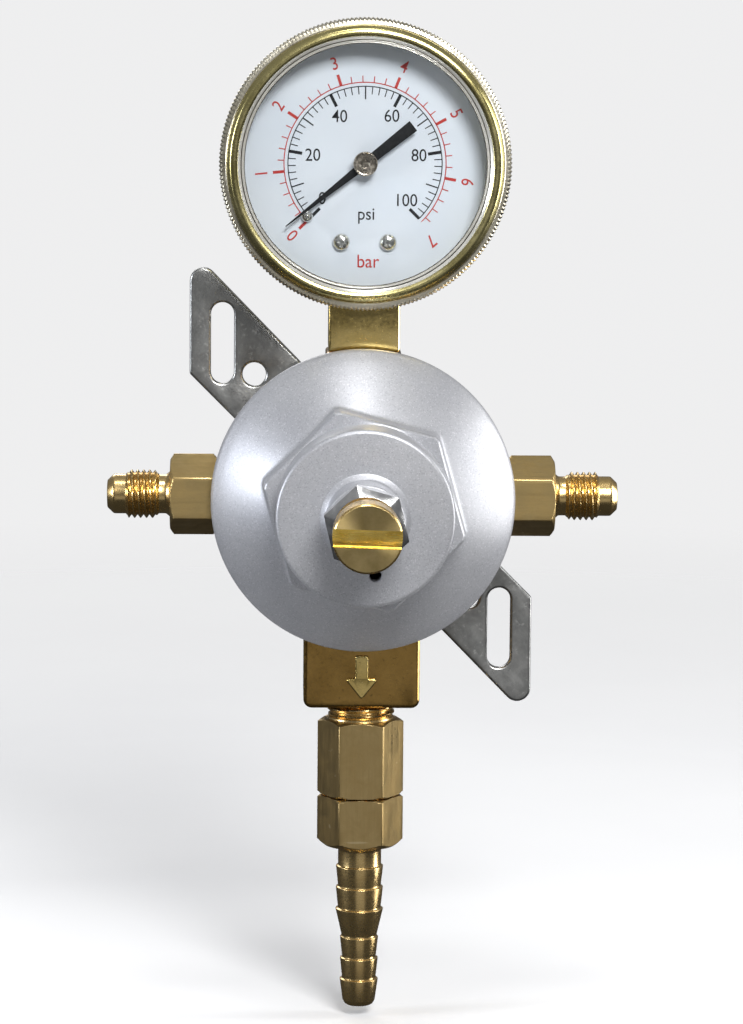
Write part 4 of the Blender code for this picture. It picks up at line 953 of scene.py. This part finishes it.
# ================================================================ gauge socket, case, bezel, lens
socket = block("gauge_socket_polished", (-7.1, -FIT - 7.1, 29.6), (7.1, -FIT + 7.1, 41.0), [POLISHED], rest=0.5)
combine(socket, [
    block("cut", (-7.1, -FIT - 4.6, 39.5), (7.1, -FIT + 7.1, 48.2), rest=0.4),
    lathe("cut", refine([(0, 20.1), (4.4, 20.1), (4.9, 20.7), (4.9, 31.0), (0, 31.0)], 20.7, 31.0, 0.15), Z, angles=ring_angles(48), shape=thread_shape(4.5, 4.9, 20.3, 29.4, 1.34)),
], "UNION")
combine(socket, [lathe("cut", [(0, 19.0), (1.8, 19.0), (1.8, 45.0), (0, 45.0)], Z, angles=ring_angles(24))])
done(socket, "regulator", "brass", "gauge_socket")

case = lathe(
    "gauge_case_spun",
    rounded([(0, -12.5, 0), (8.0, -12.5, 0.4), (8.4, -12.2, 0.4), (20.0, -12.2, 0.4), (20.6, -12.5, 0.4), (25.4, -12.5, 1.0), (27.0, -10.9, 1.2), (27.0, 8.8, 0.1), (26.0, 8.8, 0.1), (26.0, -11.6, 0.8), (0, -11.6, 0)], steps=6),
    G, [GILT], ring_angles(160),
)
combine(case, [block("cut", (-7.45, -FIT - 7.4, 37.0), (7.45, -FIT + 7.4, 44.0), rest=0.3)], angle=26)
done(case, "regulator", "gilt_metal", "gauge_case")

TEETH = 216


def knurl(r, h, t):
    if r < 28.2 or not 7.4 < h < 11.3:
        return r
    x = (TEETH * t / (2 * math.pi)) % 1.0
    v = x / 0.62 if x < 0.62 else (1 - x) / 0.38
    e = min(1.0, max(0.0, (h - 7.5) / 0.5), 1.0)
    return r - 0.30 * (1 - v) * e


rows = rounded([
    (27.3, 7.5, 0), (28.6, 7.5, 0.2), (29.05, 8.0, 0.25), (29.05, 10.45, 0.3), (28.55, 10.95, 0.2), (27.75, 11.0, 0.15), (27.55, 11.25, 0.2), (27.35, 11.9, 0.4), (26.75, 12.75, 0.7),
    (26.0, 13.0, 0.9), (25.35, 12.75, 0.5), (25.05, 12.3, 0.2), (24.75, 12.1, 0.1), (24.72, 11.98, 0.02), (24.55, 11.98, 0.02), (24.52, 12.08, 0.03), (24.3, 12.06, 0.03), (24.27, 11.94, 0.03),
    (24.1, 11.94, 0.03), (24.07, 12.02, 0.03), (23.95, 12.0, 0.05), (23.9, 11.9, 0.03), (23.9, 11.75, 0), (27.3, 11.75, 0),
], steps=4)
rows = refine(rows, 8.0, 10.5, 0.8)


def bezel_finish(r, h):
    """Pale rim, gilt roll, inner steps in a near-white painted highlight, and near-black painted shade in the grooves
    between them and along the lip's inner edge.
    """
    if r > 27.5:
        return 1
    if r > 25.3:
        return 0
    # 3 is painted shade in the groove and along the inner edge; 2 is the painted highlight on the steps
    return 3 if 24.54 < r < 24.74 or r < 24.05 else 2


bezel = lathe("gauge_bezel_knurled", rows, G, [GILT, GILT_PALE, GILT_PAINTED_HIGHLIGHT, GILT_PAINTED_SHADE], [2 * math.pi * (i + q) / TEETH for i in range(TEETH) for q in (0.0, 0.31, 0.62, 0.81)], knurl, closed=True, angle=40, mat_at=bezel_finish)
done(bezel, "regulator", "gilt_metal", "gauge_bezel")

lens = lathe("gauge_lens_clear", rounded([(0, 10.0, 0), (26.8, 10.0, 0.1), (26.8, 11.6, 0.1), (0, 11.6, 0)], steps=3), G, [LENS], ring_angles(128))
done(lens, "regulator", "lens_glass", "gauge_lens")

# ================================================================ dial
PIN = (15.65 * math.cos(rad(222.6)), 15.65 * math.sin(rad(222.6)))
holes = [circle(0, GZ, 1.6, 32), circle(PIN[0], GZ + PIN[1], 0.75, 20)] + [circle(s * 4.66, GZ - 15.7, 1.15, 24) for s in (-1, 1)]
dial = plate("gauge_dial_card", circle(0, GZ, 25.5, 160), holes, 4.9, 5.5, [DIAL], edge=0.08)
done(dial, "regulator", "dial_white", "gauge_dial")

PX = 1 / 5.056  # dial drawing unit, in mm
DX, DZ = -0.05, GZ - 0.1  # centre of the printing


def quads(name, shapes, mat, d=5.5, t=0.04):
    """Flat printed marks as thin closed prisms; each shape is a loop of (x, z)."""
    verts, faces = [], []
    for loop in shapes:
        if area_of(loop) < 0:
            loop = loop[::-1]
        b, n = len(verts), len(loop)
        verts += [(x, -(FIT + d + t), z) for x, z in loop] + [(x, -(FIT + d + 0.005), z) for x, z in loop]
        faces += [tuple(range(b, b + n)), tuple(range(b + 2 * n - 1, b + n - 1, -1))]
        faces += [(b + i, b + n + i, b + n + (i + 1) % n, b + (i + 1) % n) for i in range(n)]
    return build(name, verts, faces, [mat], 20)


def tick(a, r0, r1, w):
    """A radial mark at a degrees clockwise from the top."""
    u = (math.sin(rad(a)), math.cos(rad(a)))
    v = (u[1], -u[0])
    return [(DX + u[0] * r + v[0] * q, DZ + u[1] * r + v[1] * q) for r, q in ((r0, -w / 2), (r1, -w / 2), (r1, w / 2), (r0, w / 2))]


def arc(r, w, a0, a1, n):
    """An arc line cut into short pieces that share their ends."""
    out = []
    pts = [rad(a0 + (a1 - a0) * i / n) for i in range(n + 1)]
    outer = [(DX + (r + w / 2) * math.sin(a), DZ + (r + w / 2) * math.cos(a)) for a in pts]
    inner = [(DX + (r - w / 2) * math.sin(a), DZ + (r - w / 2) * math.cos(a)) for a in pts]
    for i in range(0, n, 6):
        j = min(n, i + 6)
        out.append(outer[i : j + 1] + inner[i : j + 1][::-1])
    return out


black, red = arc(77.5 * PX, 0.2, -135.5, 135.5, 132), arc(81.5 * PX, 0.2, -135.5, 135.5, 132)
for v in range(0, 101, 2):
    a = -135 + 2.7 * v
    if v % 20 == 0:
        black.append(tick(a, 64 * PX, 77.5 * PX, 0.62))
    elif v % 10 == 0:
        black.append(tick(a, 64.5 * PX, 77.5 * PX, 0.26))
    else:
        black.append(tick(a, 69.7 * PX, 77.5 * PX, 0.2))
i = 0
while i * 0.2 <= 6.91:
    v = i * 0.2
    a = -135 + 39.16 * v
    if a > 135.2:
        break
    red.append(tick(a, 81.5 * PX, (93 if i % 5 == 0 else 88) * PX, 0.58 if i % 5 == 0 else 0.2))
    i += 1


def text(body, x, z, height, mat, turn=0.0, squeeze=0.90, thin=0.002, name="t"):
    """A word or number standing on the dial, its middle at (x, z), turned clockwise by some degrees."""
    c = bpy.data.curves.new(name, "FONT")
    c.body = body
    c.align_x, c.align_y = "LEFT", "BOTTOM_BASELINE"
    c.size, c.offset, c.extrude, c.resolution_u = 1.0, thin, 0.01, 5
    o = bpy.data.objects.new(name, c)
    bpy.context.scene.collection.objects.link(o)
    bpy.context.view_layer.update()
    me = bpy.data.meshes.new_from_object(o.evaluated_get(bpy.context.evaluated_depsgraph_get()))
    bpy.data.objects.remove(o, do_unlink=True)
    xs, ys = [v.co.x for v in me.vertices], [v.co.y for v in me.vertices]
    tall = CAP
    k = height / tall
    mx, my = (min(xs) + max(xs)) / 2, (0.0 + tall) / 2
    c, s = math.cos(rad(-turn)), math.sin(rad(-turn))
    for v in me.vertices:
        px, py = (v.co.x - mx) * k * squeeze, (v.co.y - my) * k
        d = 5.545 if v.co.z > 0 else 5.505
        v.co = Vector(((x + px * c - py * s) * MM, -(FIT + d) * MM, (z + px * s + py * c) * MM))
    bm = bmesh.new()
    bm.from_mesh(me)
    bmesh.ops.remove_doubles(bm, verts=bm.verts, dist=1e-7)
    outward(bm)
    bm.to_mesh(me)
    bm.free()
    me.materials.clear()
    me.materials.append(mat)
    o = bpy.data.objects.new(name, me)
    bpy.context.scene.collection.objects.link(o)
    return o


probe = bpy.data.curves.new("probe", "FONT")
probe.body, probe.size = "0", 1.0
po = bpy.data.objects.new("probe", probe)
bpy.context.scene.collection.objects.link(po)
bpy.context.view_layer.update()
CAP = po.dimensions.y
bpy.data.objects.remove(po, do_unlink=True)

CX, CZ = 362.4, 165.7


def at(px, pz):
    return (px - CX) * PX, GZ - 0.1 - (pz - CZ) * PX


blacks = [quads("m", black, BLACK_INK)]
for word, px, pz in (("20", 309.6, 156.9), ("40", 336.2, 118.0), ("60", 388.8, 117.3), ("80", 416.3, 156.7), ("100", 404.8, 201.9), ("0", 319.3, 200.4)):
    blacks.append(text(word, *at(px, pz), 2.45, BLACK_INK))
blacks.append(text("psi", *at(363.7, 215.8), 2.45, BLACK_INK, squeeze=0.92))
marks = join("dial_marks_black", blacks)
done(marks, "regulator", "dial_white")
reds = [quads("m", red, RED_INK)]
for v in range(8):
    a = -135 + 39.16 * v
    rr = (105.0 if v not in (0, 7) else 103.0) * PX
    reds.append(text(str(v), DX + rr * math.sin(rad(a)), DZ + rr * math.cos(rad(a)), 2.5, RED_INK, turn=a, squeeze=0.86, thin=0.004))
reds.append(text("bar", *at(366.2, 263.6), 2.6, RED_INK, squeeze=0.92))
marks = join("dial_marks_red", reds)
done(marks, "regulator", "dial_white")

for side, s in (("left", -1), ("right", 1)):
    x, z = s * 4.66, GZ - 15.7
    sc = lathe(
        f"dial_screw_{side}_bright",
        rounded([(0, 3.5, 0), (0.8, 3.5, 0.05), (0.85, 3.7, 0), (0.85, 5.8, 0), (1.6, 5.8, 0.1), (1.71, 5.95, 0.1), (1.62, 6.3, 0.4), (1.2, 6.75, 0.8), (0.6, 6.98, 0.6), (0, 7.0, 0)], steps=4),
        along_y(x, z), [DOMES], ring_angles(48), angle=50,
    )
    tilt = rad(20 * s + 30)
    arms = []
    for q in (0.0, math.pi / 2):
        arm = block("cut", (-0.95, -0.4, -0.19), (0.95, 0.5, 0.19), rest=0.03)
        arm.data.transform(Matrix.Rotation(tilt + q, 4, "Y"))
        arm.data.transform(Matrix.Translation((x * MM, -(FIT + 7.0) * MM, z * MM)))
        arms.append(arm)
    combine(sc, arms, angle=50)
    done(sc, "regulator", "steel", f"dial_screw_{side}")
pin = lathe(
    "dial_stop_pin_bright",
    rounded([(0, 4.6, 0), (0.45, 4.6, 0), (0.45, 5.8, 0), (1.08, 5.8, 0.1), (1.19, 6.0, 0.15), (1.0, 6.45, 0.4), (0.55, 6.7, 0.2), (0.5, 6.9, 0.1), (0.5, 7.7, 0.15), (0.3, 7.9, 0.1), (0, 7.9, 0)], steps=4),
    along_y(PIN[0], GZ + PIN[1]), [DOMES], ring_angles(40), angle=50,
)
done(pin, "regulator", "steel", "dial_stop_pin")

A = rad(218.6)
ca, sa = math.cos(A), math.sin(A)
needle = [(1.85, 0.82, 0.3), (20.2, 0.10, 0.05), (20.2, -0.10, 0.05), (1.85, -0.82, 0.3), (1.4, -1.4, 0.3), (0.0, -2.0, 0.6), (-1.4, -1.4, 0.3), (-1.9, -0.95, 0.3), (-12.1, -1.22, 0.12), (-12.1, 1.22, 0.12), (-1.9, 0.95, 0.3), (-1.4, 1.4, 0.3), (0.0, 2.0, 0.6), (1.4, 1.4, 0.3)]
loop = [(x * ca - z * sa, GZ + x * sa + z * ca) for x, z in round_poly(needle, 3)]
pointer = plate("gauge_pointer_black", loop, [circle(0, GZ, 1.4, 36)], 7.0, 7.45, [POINTER_BLACK], edge=0.05)
done(pointer, "pointer", "pointer_black", "gauge_pointer")
hub = lathe(
    "pointer_hub_bronze",
    rounded([(0, 8.45, 0), (0.62, 8.45, 0), (0.62, 6.2, 0), (1.1, 6.2, 0.05), (1.1, 7.75, 0.05), (2.3, 7.75, 0.1), (2.42, 7.9, 0.1), (2.42, 8.6, 0.12), (2.22, 8.85, 0.12), (2.0, 8.74, 0.1), (0.9, 8.72, 0.1), (0.7, 8.6, 0.05), (0, 8.62, 0)], steps=4),
    G, [HUB], ring_angles(72), angle=30,
)
combine(hub, [block("cut", (-0.75, -FIT - 9.2, GZ - 0.14), (0.75, -FIT - 8.64, GZ + 0.14), rest=0.02)])
done(hub, "pointer", "movement_brass", "pointer_hub")

# ================================================================ finishes for the CAD nodes that stay
keep = {
    "rubber": (RUBBER, ["diaphragm", "gauge_gasket", "check_valve_seal"]),
    "steel": (STEEL, ["slip_ring", "range_spring", "spring_button", "poppet_spring", "check_valve_spring", "inlet_screen_left", "inlet_screen_right", "sector_link", "hairspring"]),
    "aluminium": (ALUMINIUM, ["diaphragm_plate"]),
    "brass": (TURNED_Y, ["diaphragm_pusher", "valve_seat", "poppet"]),
    "brass_z": (TURNED_Z, ["check_valve_poppet"]),
    "movement": (MOVEMENT, ["movement_back_plate", "movement_front_plate", "movement_pillar_1", "movement_pillar_2", "sector_gear", "pinion_arbor", "bourdon_tube", "bourdon_tip"]),
}
for mat, nodes in keep.values():
    for n in nodes:
        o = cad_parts[n]
        if not o.data.materials:
            o.data.materials.append(mat)
        for i in range(len(o.material_slots)):
            o.material_slots[i].material = mat

# ================================================================ floor, light, camera
scene = bpy.context.scene
scene.view_settings.view_transform = "Standard"
scene.view_settings.look = "None"

k = Nodes("pale_floor")
k.set(Roughness=0.9, Specular_IOR_Level=0.1)
FLOOR = k.out(k.ramp(k.noise(9.0, 4.0, 0.5), [(0.3, (0.82, 0.82, 0.825)), (0.7, (0.85, 0.85, 0.852))]), None, k.bump(k.noise(60.0, 3.0, 0.5), 0.0002, 0.3))
# the floor's rim fades out, so that it meets the pale surroundings with no edge
far = k.t.nodes.new("ShaderNodeVectorMath")
far.operation = "LENGTH"
k.link(k.coords((1, 1, 0)), far.inputs[0])
clear = k.t.nodes.new("ShaderNodeBsdfTransparent")
blendn = k.t.nodes.new("ShaderNodeMixShader")
k.link(k.span(far.outputs["Value"], 0.0, 1.0, 0.18, 0.62), blendn.inputs["Fac"])
k.link(k.b.outputs["BSDF"], blendn.inputs[1])
k.link(clear.outputs["BSDF"], blendn.inputs[2])
k.link(blendn.outputs["Shader"], k.t.nodes["Material Output"].inputs["Surface"])
n, verts, faces = 64, [(0.0, 0.0, 0.0)], []
for r in (0.12, 0.3, 0.5, 0.66):
    verts += [(r * math.cos(2 * math.pi * i / n), r * math.sin(2 * math.pi * i / n), 0.0) for i in range(n)]
faces += [(0, 1 + i, 1 + (i + 1) % n) for i in range(n)]
for q in range(3):
    a, b = 1 + q * n, 1 + (q + 1) * n
    faces += [(a + i, b + i, b + (i + 1) % n, a + (i + 1) % n) for i in range(n)]
me = bpy.data.meshes.new("floor")
me.from_pydata(verts, [], faces)
me.materials.append(FLOOR)
me.shade_smooth()
floor = bpy.data.objects.new("floor", me)
floor.location = (0.0, 0.12, -0.1075)
scene.collection.objects.link(floor)
floor.visible_glossy = False

# pale surroundings in view, with a dim room above and around for the metal to reflect
world = bpy.data.worlds.new("studio")
scene.world = world
world.use_nodes = True
wt = world.node_tree
room = wt.nodes["Background"]
wc = wt.nodes.new("ShaderNodeTexCoord")
sep = wt.nodes.new("ShaderNodeSeparateXYZ")
wt.links.new(wc.outputs["Generated"], sep.inputs["Vector"])
up = wt.nodes.new("ShaderNodeMapRange")
for key, v in (("From Min", -0.2), ("From Max", 1.0), ("To Min", 0.05), ("To Max", 0.34)):
    up.inputs[key].default_value = v
wt.links.new(sep.outputs["Z"], up.inputs["Value"])
wt.links.new(up.outputs["Result"], room.inputs["Strength"])
room.inputs["Color"].default_value = (0.97, 0.98, 1.0, 1.0)
pale = wt.nodes.new("ShaderNodeBackground")
pale.inputs["Color"].default_value = (0.86, 0.86, 0.865, 1.0)
seen = wt.nodes.new("ShaderNodeLightPath")
either = wt.nodes.new("ShaderNodeMixShader")
wt.links.new(seen.outputs["Is Camera Ray"], either.inputs["Fac"])
wt.links.new(room.outputs["Background"], either.inputs[1])
wt.links.new(pale.outputs["Background"], either.inputs[2])
wt.links.new(either.outputs["Shader"], wt.nodes["World Output"].inputs["Surface"])


def lamp(name, loc, target, energy, size, size_y, colour=(1, 1, 1)):
    d = bpy.data.lights.new(name, "AREA")
    d.energy = energy
    d.color = colour
    d.shape = "RECTANGLE"
    d.size, d.size_y = size, size_y
    o = bpy.data.objects.new(name, d)
    o.location = loc
    o.rotation_mode = "QUATERNION"
    o.rotation_quaternion = (Vector(target) - Vector(loc)).to_track_quat("-Z", "Y")
    scene.collection.objects.link(o)
    return o


lamp("key_front_top", (0.22, -0.95, 0.62), (0, -0.03, 0.0), 12.5, 0.40, 0.35)
lamp("side_right", (0.95, 0.06, 0.10), (0, -0.03, 0.0), 7.5, 0.30, 0.8)
lamp("side_left", (-0.95, -0.26, 0.15), (0, -0.03, 0.0), 5.5, 0.25, 0.32, (0.88, 0.92, 1.0))
lamp("low_front", (0.10, -1.10, -0.32), (0, -0.03, 0.0), 0.40, 0.9, 0.40)
lamp("top_soft", (-0.04, -0.30, 0.95), (0, -0.03, 0.0), 2.5, 0.25, 0.2)
lamp("back_soft", (-0.25, 1.05, 0.55), (0, -0.03, 0.0), 3.0, 0.6, 0.4)

# camera: the photograph's viewing angle, a little from above and from the left
cam_data = bpy.data.cameras.new("camera")
cam = bpy.data.objects.new("camera", cam_data)
scene.collection.objects.link(cam)
cam_data.sensor_width, cam_data.sensor_fit = 36.0, "AUTO"
cam_data.lens = 4455.0 * 36.0 / 1024.0
YAW, PITCH, ROLL = 1.1, 7.6, 0.45
pivot = Vector((0.0, -0.016, 0.0))
offset = Matrix.Rotation(rad(-YAW), 4, "Z") @ (Vector((0.00188, -0.9085, 0.1156)) - pivot)
cam.location = pivot + offset
look = Matrix.Rotation(rad(-YAW), 4, "Z") @ Matrix.Rotation(rad(90.0 - PITCH), 4, "X") @ Matrix.Rotation(rad(ROLL), 4, "Z")
cam.rotation_mode = "QUATERNION"
cam.rotation_quaternion = look.to_quaternion()
cam_data.clip_start, cam_data.clip_end = 0.01, 100.0
scene.camera = cam
